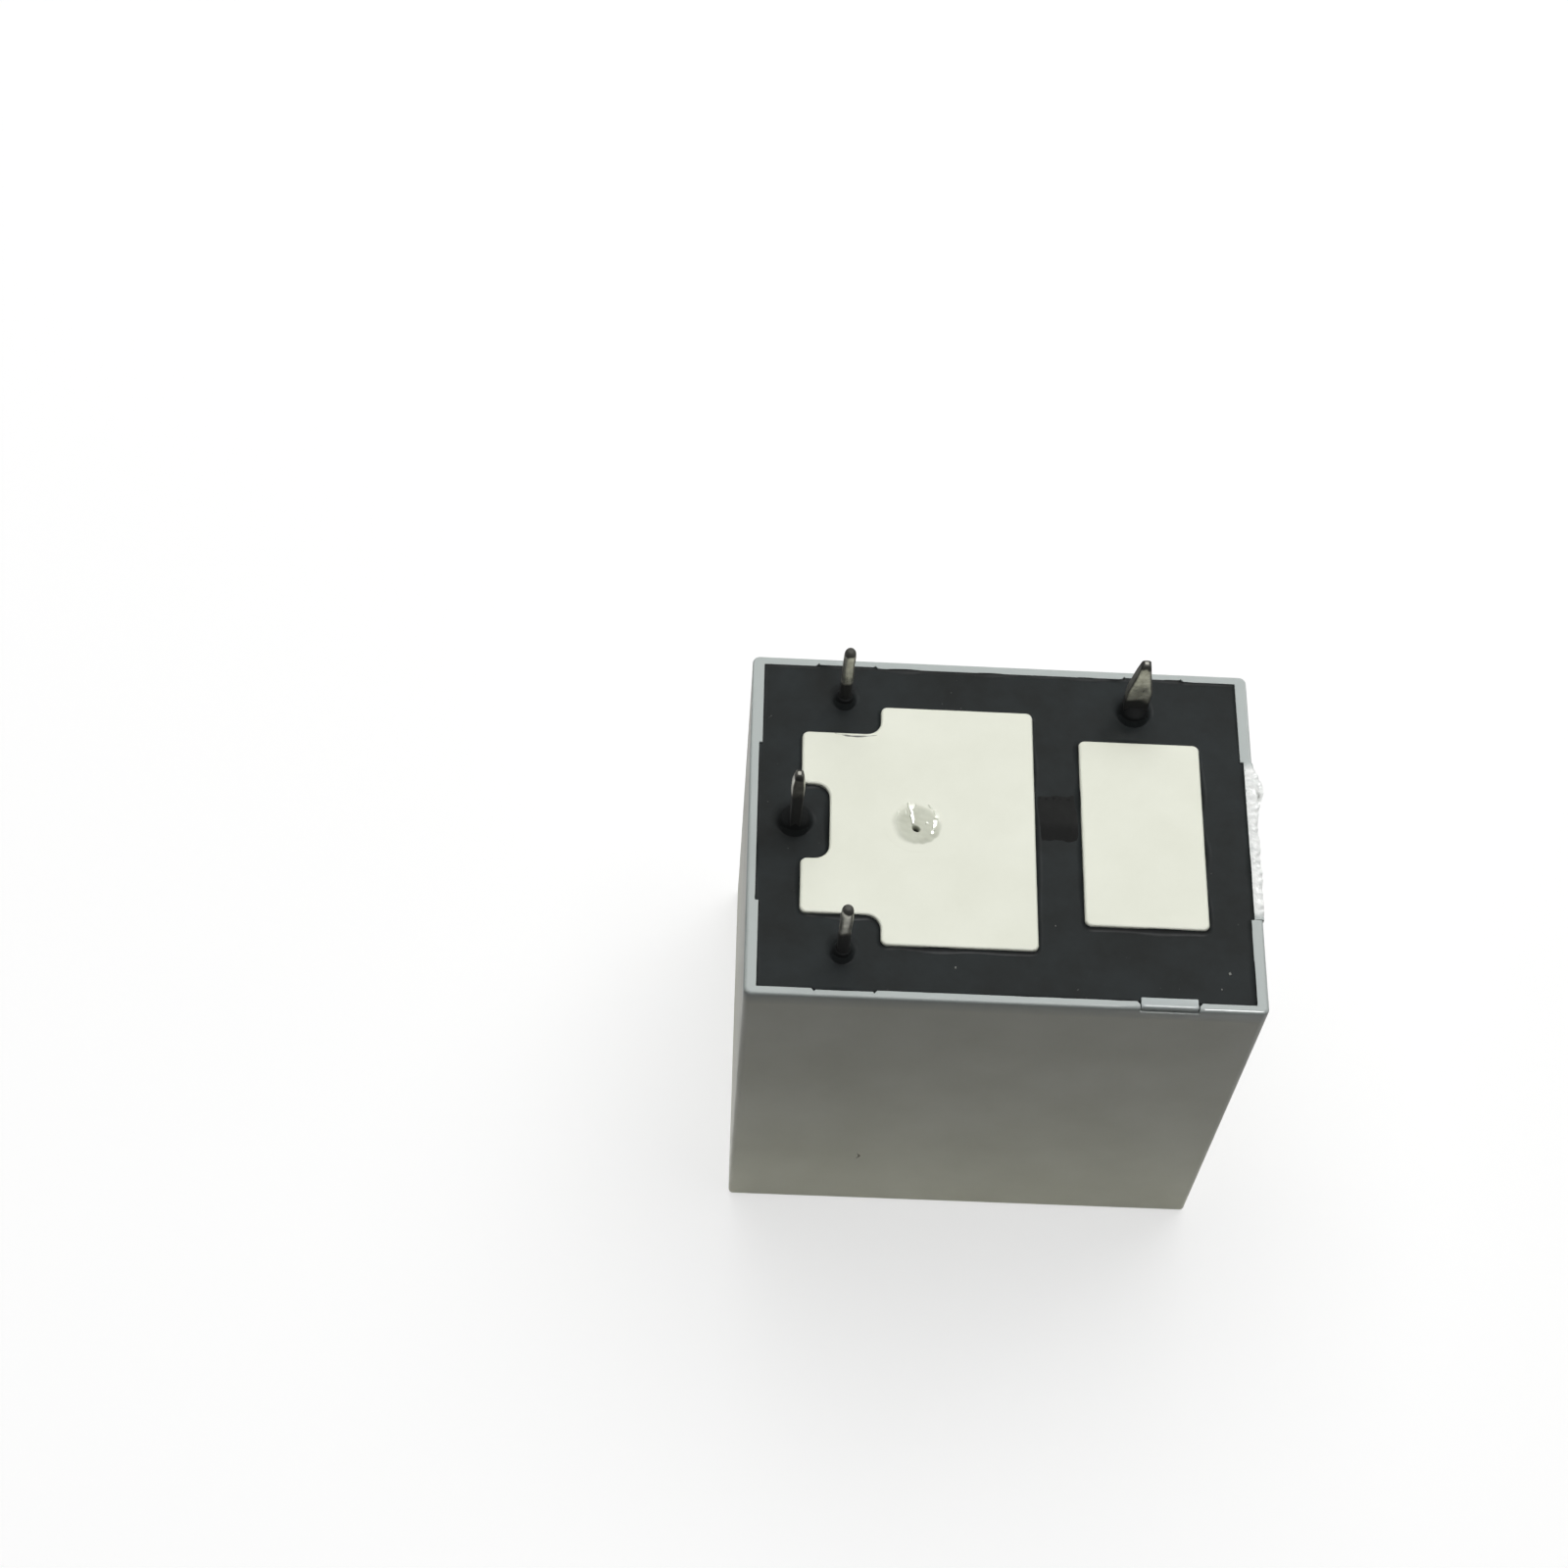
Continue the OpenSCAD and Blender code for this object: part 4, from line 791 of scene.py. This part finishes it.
def resin_blob(name, x, y, half_x, half_y, seed, collar, wall, radius_x, radius_y, back):
    """Rings from inside the pin outwards. The first fifth (turn) goes from the pin's section, collar high,
    to a circle of radius wall, 0.44 high. Then q goes from that circle (0) to an ellipse (1) that lies
    further back, and the height falls as 0.44 (1 - q)^n, with n = 4 before the pin and 5 beside and behind
    it. Painted shade makes it dark at the pin, and the painted dark fades towards a second ellipse further
    back."""
    c, d = circle(BLOB_TURNS)
    uneven = 1 + 0.05 * waves(xyz(c, d, 0.3 * seed), 1.9, seed)
    s = np.linspace(0, 1, BLOB_STEPS)[:, None]
    turn, q = ease(s / COLLAR_SHARE), np.clip((s - COLLAR_SHARE) / (1 - COLLAR_SHARE), 0, 1)
    px = (1 - q) * ((half_x + SKIN) * (1 - turn) + wall * turn) * c + q * radius_x * uneven * c
    py = (1 - q) * ((half_y + SKIN) * (1 - turn) + wall * turn) * d + q * (back + radius_y * uneven * d)
    height = (collar * (1 - turn) + WALL_HEIGHT * turn) * (1 - q) ** (4 + ease(1 + d)) - 0.001
    points = xyz(x + px, y + py, RESIN_TOP + height)
    under = np.stack([points[-1], points[0]])
    under[:, :, 2] = RESIN_TOP - BLOB_ROOT
    # Painted shade: dark at the foot of the pin and in a halo behind it.
    far = np.sqrt((px / (radius_x - 0.02)) ** 2 + ((py - 0.42) / (radius_y - 0.21)) ** 2)
    dark_behind = 0.80 * (1 - ease((far - 0.20) / 0.78))
    dark_foot = 0.85 * (1 - ease((q - 0.02) / (0.30 + 0.65 * np.clip(-d, 0, 1))))
    shade = np.concatenate([np.maximum(dark_behind, dark_foot), np.zeros((2, BLOB_TURNS))])
    grid_piece(name, np.concatenate([points, under]), black_resin, "black_resin", wrap_rows=True,
               paint={"shade": shade})


for seed, (pin_name, foot) in enumerate(PIN_FEET.items(), start=11):
    resin_blob("resin_blob_" + pin_name, *foot, seed, **(WIRE_BLOB if "coil" in pin_name else FLAT_BLOB))

# %% [markdown]
# ## The pins
# The coil pins are drawn wire with a rounded end, and the contact pins are stamped strips coined to a
# narrow tip with a faint ridge down the middle. Hot tin has run over all of them and left a skin of uneven
# thickness. Each pin is a stack of rounded sections: a superellipse |x/a|^n + |y/b|^n = 1 whose half widths
# and power change with height. How dark each point is painted is kept as an attribute of the mesh: dark at
# the foot for a film of resin and the shade on it, painted dark reflections on the narrow faces of the
# strips, and a darker tip.

# %% Tin-coated pins as stacks of sections
PIN_TURNS = 64
TIP_FROM, TIP_FADE, TIP_DARK = 23.62, 0.14, 0.85
FILM_AND_SHADE_FADE = 0.40


def tinned_pin(name, x, y, z, half_x, half_y, power, ridge, dark_reflection_edge, film_and_shade_top, seed, slot, replaced=None):
    """Sections at the heights z, all in millimetres: the superellipse of half_x, half_y and power, moved by
    slow waves. ridge lifts the middle of the wide faces, and dark_reflection_edge tells how dark the narrow
    ones are painted, as painted dark reflections. The foot is painted dark up to film_and_shade_top, for a
    film of resin and the shade on it, and the tip is painted darker."""
    c, s = circle(PIN_TURNS)
    n = power[:, None]
    reach = (np.abs(c) ** n + np.abs(s) ** n) ** (-1 / n)
    ux, uy = reach * c, reach * s
    wide_x = half_x.max() > half_y.max()
    across, through = (ux, uy) if wide_x else (uy, ux)
    lift = 1 + ridge[:, None] * np.clip(1 - across ** 2, 0, 1) * (np.abs(through) > 0.3)
    px = half_x[:, None] * ux * (1 if wide_x else lift)
    py = half_y[:, None] * uy * (lift if wide_x else 1)
    skin = xyz(px, py, z[:, None])
    unevenness = 0.006 if dark_reflection_edge else 0.020
    swell = 1 + unevenness * waves(skin + 3.7 * seed, 0.9, seed)[:, :, None] * np.array([1, 1, 0])
    place = skin + 5.1 * seed
    film = 1 - ease((z[:, None] - film_and_shade_top - 0.12 * waves(place, 1.1, seed + 1)) / FILM_AND_SHADE_FADE)
    darkened_end = (z < z[-1])[:, None] if dark_reflection_edge else 1.0
    tip = ease((z[:, None] - TIP_FROM - 0.05 * waves(place, 0.4, seed + 2)) / TIP_FADE) * darkened_end
    edge = dark_reflection_edge * ease((np.abs(across) - 0.84) / 0.1)
    # Painted shade and dark reflections: dark at the foot for a resin film and its shade, on the narrow
    # faces, and at the tip.
    shade = 1 - (1 - film) * (1 - TIP_DARK * tip) * (1 - edge * darkened_end)
    grid_piece(name, skin * swell + np.array([x, y, 0.0]), tin_coat, slot, smooth_angle=50,
               paint={"shade": shade}, replaced=replaced)


def tip_steps(top, length):
    """Heights over the last length below top, closer together towards the end: top - length u^1.4."""
    return top - length * np.linspace(1, 0, 14) ** 1.4


WIRE_FOOT = [12.62, 12.66, 19.44, 19.5, 20.44, 20.49]
wire_z = np.concatenate([WIRE_FOOT, np.linspace(20.7, 23.45, 30), tip_steps(PIN_TIP, 0.45)])
wire_half = np.interp(wire_z, WIRE_FOOT + [23.5, 23.62, 23.76, 23.88, 23.935, PIN_TIP],
                      [0.24, 0.30, 0.30, 0.22, 0.22, 0.252, 0.252, 0.246, 0.222, 0.172, 0.13, 0.105])
wire_power = np.interp(wire_z, WIRE_FOOT[2:] + [21.2, 23.4], [2, 6, 6, 2, 2.5, 2.2])
for seed, (pin_name, film_and_shade_top) in enumerate({"coil_pin_a": 21.50, "coil_pin_b": 21.90}.items(), start=21):
    tinned_pin("tinned_" + pin_name, *PIN_FEET[pin_name][:2], wire_z, wire_half, wire_half, wire_power,
               0 * wire_z, 0.0, film_and_shade_top, seed, "tinned_wire", pin_name)

STRIP_TIP = PIN_TIP + 0.012
STRIP_END = [STRIP_TIP, STRIP_TIP + 0.0005, STRIP_TIP + 0.001]
DARK_REFLECTION_EDGE = 0.75
strip_z = np.concatenate([np.linspace(19.2, 23.3, 42), tip_steps(STRIP_TIP, 0.62), STRIP_END[1:]])
strip_wide = np.interp(strip_z, [19.2, 21.9, 22.0, 23.82, 23.93] + STRIP_END,
                       [0.522, 0.522, 0.516, 0.204, 0.184, 0.154, 0.092, 0.076])
strip_thick = np.interp(strip_z, [19.2, 23.25, 23.82, 23.93] + STRIP_END,
                        [0.226, 0.226, 0.154, 0.130, 0.102, 0.060, 0.050])
strip_power = np.interp(strip_z, [19.2, 21.8, 23.0, PIN_TIP], [12.0, 12.0, 10.0, 8.0])
strip_ridge = 0.22 * ease((strip_z - 21.9) / 0.8)
tinned_pin("tinned_contact_pin", *PIN_FEET["contact_pin"][:2], strip_z, strip_wide, strip_thick, strip_power,
           strip_ridge, DARK_REFLECTION_EDGE, 21.35, 23, "tinned_strip")
tinned_pin("tinned_common_pin", *PIN_FEET["common_pin"][:2], strip_z, strip_thick, strip_wide, strip_power,
           strip_ridge, DARK_REFLECTION_EDGE, 22.60, 24, "tinned_strip")

# %% [markdown]
# ## The drop that seals the vent
# The hole that lets air out while the resin hardens is closed last, with a drop of clear resin. It has sunk
# unevenly, its edge has run a little way over the seat, and a pinhole is left in it. The surface is worked
# out in turns round the pinhole, so that the finest steps lie where the shape changes fastest.

# %% Vent drop round its pinhole
VENT, DROP, PINHOLE = np.array([-3.5, 0.2]), np.array([-3.62, 0.01]), np.array([-3.63, -0.25])
DROP_TURNS, FILM_RADIUS, DROP_HEIGHT = 240, 1.34, 0.050
HOLE_TURN, HOLE_RADII, HOLE_DEPTH = np.array([[0.85, 0.53], [-0.53, 0.85]]), [0.150, 0.105], 0.3
VENT_WIDE, VENT_NARROW, VENT_STEP, VENT_FOOT = 1.045, 0.3, 20.10, 19.6
# Each facet: distances along Y, the middle of the facet along X there, its widths there, and its level
FACETS = (
    ([-0.08, 0.30, 0.62, 0.70, 0.98], [-0.13, -0.17, -0.19, -0.16, -0.20],
     [0.09, 0.10, 0.12, 0.24, 0.20], 0.060),
    ([-0.50, -0.30], [0.63, 0.67], [0.10, 0.16], 0.045),
    ([-0.24, 0.02, 0.26], [0.70, 0.78, 0.82], [0.10, 0.17, 0.20], 0.045),
    ([0.24, 0.42, 0.66], [0.84, 0.87, 0.74], [0.26, 0.22, 0.14], 0.045),
    ([0.74, 0.94], [0.62, 0.56], [0.10, 0.14], 0.045),
    ([0.36, 0.56], [-0.73, -0.73], [0.07, 0.07], 0.050),
    ([0.38, 0.62], [-0.42, -0.43], [0.08, 0.06], 0.055),
    ([-0.02, 0.10], [0.45, 0.48], [0.16, 0.10], 0.055),
)


def gleaming_facet(x, y, shift, along, middles, widths, level):
    """Level and mask of a flat facet that catches the light: z = level - 0.294 (x - x0) - 0.062 (y - y0).
    It follows the line through the points (middles, along), is as wide as widths there, and the mask is 1
    on it. shift makes its outline uneven."""
    line, width = np.interp(y, along, middles), np.interp(y, along, widths)
    ends = ease((y - along[0]) / 0.06 + 0.5) * ease((along[-1] - y) / 0.06 + 0.5)
    plane = level - 0.294 * (x - np.mean(middles)) - 0.062 * (y - np.mean(along))
    return plane, ends * ease((width / 2 - np.abs(x + shift - line)) / 0.03 + 0.5)


def vent_drop():
    """From the pinhole (s = 0) to past the drop's edge (s = 1), p = pinhole + s (edge - pinhole). A low
    dome with slow waves falls to a thin film on the seat, and a few facets in it catch the light. It drops
    within the pinhole: 0.3 exp(-d^4), d in widths of the hole. Outside, the film takes the tone of the
    seat."""
    ring = xyz(*circle(DROP_TURNS), 0.0)
    edge = DROP + ring[:, :2] * FILM_RADIUS
    drop_radius = 1.03 + 0.035 * waves(ring, 1.6, 31) + 0.015 * waves(ring, 0.5, 32)
    s = np.concatenate([np.linspace(0, 0.14, 14), np.linspace(0.155, 1, 62)])[:, None, None]
    flat = PINHOLE + s * (edge - PINHOLE)
    away = np.linalg.norm(flat - DROP, axis=2)
    place = xyz(flat[:, :, 0], flat[:, :, 1], 0.0)
    shift = 0.025 * waves(place, 0.7, 35) + 0.02 * waves(place, 0.25, 36)
    x, y = (flat - DROP)[:, :, 0], (flat - DROP)[:, :, 1]
    low = 0.010 * waves(place, 0.7, 33) + 0.003 * waves(place, 0.26, 34)
    dome = (DROP_HEIGHT + low) * ease((drop_radius - away) / 0.28)
    for facet in FACETS:
        plane, mask = gleaming_facet(x, y, shift, *facet)
        dome = dome * (1 - mask) + plane * mask
    from_hole = np.linalg.norm((flat - PINHOLE) @ HOLE_TURN / HOLE_RADII, axis=2)
    z = SEAT_TOP + 0.004 + np.maximum(dome, 0) - HOLE_DEPTH * np.exp(-from_hole ** 4)
    top = np.concatenate([flat, z[:, :, None]], axis=2)
    underside = ((DROP, FILM_RADIUS, SEAT_TOP - 0.002), (VENT, VENT_WIDE, SEAT_TOP - 0.003),
                 (VENT, VENT_WIDE, VENT_STEP), (VENT, VENT_NARROW, VENT_STEP),
                 (VENT, VENT_NARROW, VENT_FOOT), (VENT, 0.0, VENT_FOOT))
    below = [np.column_stack([centre + ring[:, :2] * radius, np.full(DROP_TURNS, level)])
             for centre, radius, level in underside]
    fade = np.interp(ring[:, 0] - ring[:, 1], [-1.4, 1.4], [0.50, 0.12])
    film = 1 - ease((drop_radius + 0.03 - away) / fade)
    none = np.zeros((len(below), DROP_TURNS))
    # The pinhole is painted dark with shade.
    paint = {"shade": np.concatenate([np.exp(-(from_hole / 0.95) ** 6), none]),
             "edge": np.concatenate([film, none + 1])}
    grid_piece("vent_drop", np.concatenate([top, below]), clear_resin, "clear_resin", cap=False,
               smooth_angle=50, paint=paint, replaced="vent_seal")


vent_drop()

# %% [markdown]
# ## The rough lip at the contact end
# Along the middle of the contact end the thin wall of the rim was pressed while it was warm. It bulges out,
# and its skin is crumpled and bright. The lip is a profile carried along the rim that swells and fades at
# its two ends. It could be sculpted by hand, but a formula with a few waves is easier to change.

# %% Crumpled lip on the rim
LIP_HALF, LIP_INNER_X = 3.73, 10.135
LIP_STEPS = [0, 0.10, 0.26, 0.42, 0.58, 0.85, 1]

lip_white = plastic("crumpled_white_plastic", srgb(252, 253, 251), srgb(222, 225, 223), 2600, 9500,
                    0.10, 0.26, level=30 * MICRON, strength=0.9)
# Painted shade in the fold; the lip's ends fade to the rim's painted grey.
changed_by(lip_white, by_attribute("shade"), srgb(120, 122, 116))
changed_by(lip_white, by_attribute("to_rim"), srgb(182, 189, 187), 0.45)
changed_by(lip_white, by_attribute("to_wall"), srgb(210, 211, 203), 0.46)


def rim_lip():
    """Section across the rim at each y: from the inner edge over the top, out to the bulge and back to the
    wall 0.85 below. The bulge is a hump of up to 0.36 round y = 2.5, short waves crumple the skin, and a
    fold runs along the hump, painted dark with the shade in it. The skin takes the rim's painted grey at its
    two ends and the tone of the wall at its foot."""
    y = np.linspace(-LIP_HALF, LIP_HALF, 190)[:, None]
    line = np.concatenate([0 * y, y, 0 * y], axis=1)
    hump = ease((LIP_HALF - np.abs(y)) / 0.5) * (0.04 + 0.32 * np.exp(-((y - 2.45) / 0.80) ** 2)
                                                 + 0.03 * waves(line, 1.7, 41)[:, None])
    t = np.linspace(0, 1, 30)[None, :]
    across = np.interp(t, LIP_STEPS, [0.0, 0.01, 0.12, 0.26, 0.40, 0.40, 0.30])
    grow = np.interp(t, LIP_STEPS, [0.0, 0.0, 0.15, 0.55, 1.0, 0.55, 0.0])
    level = np.interp(t, LIP_STEPS, [-0.25, 0.00, 0.034, 0.030, -0.04, -0.55, -0.85])
    x = LIP_INNER_X + across + grow * hump
    z = RIM_TOP + level + 0.02 * grow * hump / 0.2
    points = xyz(x, y, z)
    crumple = 0.018 * waves(points, 0.40, 42) + 0.007 * waves(points, 0.17, 43)
    along_fold = (points[:, :, 1] - 2.12) / 0.20
    across_fold = (points[:, :, 0] - 10.69 - 0.03 * crumple / 0.02) / 0.05
    fold = np.exp(-along_fold ** 2 - across_fold ** 2) * (level > -0.3)
    fade = ease((LIP_HALF - np.abs(y)) / 0.3) * np.interp(t, [0, 0.10, 0.26, 0.85, 1], [0, 0.3, 1, 0.8, 0])
    points += (crumple * fade)[:, :, None] * np.array([0.6, 0.25, 0.8])
    points[:, :, 2] -= 0.06 * fold
    to_rim = 1 - ease((3.70 - np.abs(y) + 0.15 * waves(line, 0.5, 44)[:, None]) / 0.45)
    to_wall = ease((t - 0.62) / 0.30)
    grid_piece("crumpled_rim_lip", points, lip_white, "cover_plastic", smooth_angle=35,
               paint={"shade": fold, "to_rim": to_rim, "to_wall": to_wall})


rim_lip()

# %% [markdown]
# ## The patch in the channel
# In the channel between the seats the resin has set over a thin patch with a brownish tone and a ragged
# end. It is hardly thicker than paint, so a low pillow is enough, and its edges dip under the resin.

# %% Patch in the channel
PATCH_CENTRE, PATCH_HALF_X, PATCH_HALF_Y = (2.25, 0.70), 0.90, 1.14
PATCH_ACROSS, PATCH_UNDER, PATCH_ALONG = 30, 4, 40


def channel_patch():
    """Low pillow over the channel: z = 0.022 (1 - |u|^8) (1 - |v|^8) - 0.008 above the resin for u and v
    from -1 to 1, with a closed underside. Waves move its two ends. Its front is darker, with dark dashes at
    the back."""
    u = np.concatenate([np.linspace(-1, 1, PATCH_ACROSS), np.linspace(1, -1, PATCH_UNDER)])[None, :]
    v = np.linspace(-1, 1, PATCH_ALONG)[:, None]
    upper = (np.arange(PATCH_ACROSS + PATCH_UNDER) < PATCH_ACROSS)[None, :]
    x = PATCH_CENTRE[0] + PATCH_HALF_X * u
    ends = xyz(x, v, 0.0)
    y = PATCH_CENTRE[1] + (PATCH_HALF_Y + 0.05 * waves(ends, 0.6, 51)) * v
    place = xyz(x, y, 0.0)
    pillow = 0.022 * (1 - np.abs(u) ** 8) * (1 - np.abs(v) ** 8) - 0.008 + 0.003 * waves(place, 0.5, 52)
    dashes = np.clip(1.5 * waves(place, 0.22, 53), 0, 1) * np.exp(-((y - 1.62) / 0.07) ** 2)
    shade = np.maximum(dashes, 0.62 * ease((0.60 - y) / 0.5))
    points = xyz(x, y, RESIN_TOP + np.where(upper, pillow, -INTO_RESIN))
    grid_piece("channel_patch", points, brown_resin, "black_resin", paint={"shade": shade})


channel_patch()

# %% [markdown]
# ## Grains, a smear and a scratch
# A few pale grains have settled on the resin, a thin film of it has run over the edge of the larger seat,
# and the front of the cover has one short scratch. A grain is an uneven ball, and the other two are flat
# slivers along a curve, so thin that only their tone is seen.

# %% Grains on the resin
GRAINS = np.array([(8.99, -6.23, 0.055), (8.62, -6.95, 0.03), (-2.05, -6.44, 0.035), (2.02, -4.36, 0.03)])
grain_white = plastic("pale_grain", srgb(128, 130, 124), srgb(84, 86, 83), 5200, 9000, 0.35, 0.55,
                      level=10 * MICRON)


def resin_grains():
    """Small uneven balls sunk halfway into the resin. All are worked out as one array of grain, ring and
    step."""
    c, s = circle(10)
    b = np.linspace(0.02, np.pi - 0.02, 7)[:, None]
    ball = xyz(np.sin(b) * c, 1.5 * np.sin(b) * s, 0.7 * np.cos(b))
    apart = np.arange(len(GRAINS))[:, None, None, None]
    size = GRAINS[:, None, None, 2:3] * (1 + 0.3 * waves(ball + apart, 1.4, 54)[..., None])
    centre = np.column_stack([GRAINS[:, :2], np.full(len(GRAINS), RESIN_TOP + 0.005)])[:, None, None, :]
    for k, points in enumerate(centre + ball * size):
        grid_piece("resin_grain_%d" % k, points, grain_white, "base_plastic")


resin_grains()

# %% Smear on the seat, and scratch in the wall
SMEAR_START, SMEAR_LENGTH, SMEAR_Y = -7.0, 1.75, 4.21
SCRATCH_X, SCRATCH_Z, SCRATCH_HEIGHT = -4.92, 4.50, 0.55
COVER_LEAN = 0.1

smear_grey = plastic("thin_resin_film", srgb(160, 161, 150), srgb(84, 86, 80), 2600, 6000, 0.30, 0.45,
                     IOR=1.48)
scratch_grey = plastic("scratched_plastic", srgb(150, 148, 138), srgb(104, 102, 94), 3200, 9000, 0.50, 0.65,
                       level=10 * MICRON)


def seat_smear():
    """Sliver along y = 4.21 - 0.10 sin(pi t), 0.005 proud of the seat and widest at its middle."""
    t = np.linspace(0, 1, 40)[:, None]
    c, s = circle(10)
    line = np.concatenate([3 * t, 0 * t, 0 * t], axis=1)
    thick = (0.008 + 0.034 * np.sin(np.pi * t) ** 2) * (1 + 0.5 * waves(line, 0.7, 61)[:, None])
    x = SMEAR_START + SMEAR_LENGTH * t
    y = SMEAR_Y - 0.10 * np.sin(np.pi * t) + thick * c
    z = SEAT_TOP + 0.001 + 0.004 * s
    grid_piece("seat_smear", xyz(x, y, z), smear_grey, "black_resin")


def wall_scratch():
    """Sliver along a curve on the leaning front wall: x = x0 + 0.13 sin(pi t), z = z0 + 0.55 t. It is
    widest in the middle and 0.006 proud of the wall."""
    t = np.linspace(0, 1, 24)[:, None]
    c, s = circle(12)
    thick = 0.012 + 0.045 * np.sin(np.pi * t) ** 2
    x = SCRATCH_X + 0.13 * np.sin(np.pi * t) + thick * c
    z = SCRATCH_Z + SCRATCH_HEIGHT * t
    front = -8.0 + COVER_LEAN * (1 - z / RIM_TOP)
    grid_piece("wall_scratch", xyz(x, front - 0.006 * s, z), scratch_grey, "cover_plastic")


seat_smear()
wall_scratch()

# %% [markdown]
# ## The contact spring
# The spring's upright end is riveted to the yoke and its long end moves with the armature, so it bends at
# its lower corner when the relay closes. A merged copy of the CAD shape is kept in its place, with its
# long edges cut in pieces, and stands in for the CAD node.

# %% Merged copy of the spring, cut in pieces
LONGEST_EDGE = 1.2


def bending_spring():
    """Merged copy of the spring, cut across its length so that it can bend smoothly."""
    mesh, work = merged_copy("contact_spring", "bending_spring")
    long_edges = [e for e in work.edges if e.calc_length() > LONGEST_EDGE * MM]
    bmesh.ops.subdivide_edges(work, edges=long_edges, cuts=2, use_grid_fill=True)
    bmesh.ops.triangulate(work, faces=work.faces)
    made = smooth_object(mesh, work, spring_bronze)
    mesh.set_sharp_from_angle(angle=SHARP)
    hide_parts("contact_spring")
    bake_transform(made)
    print("spring triangles", len(mesh.polygons))


bending_spring()
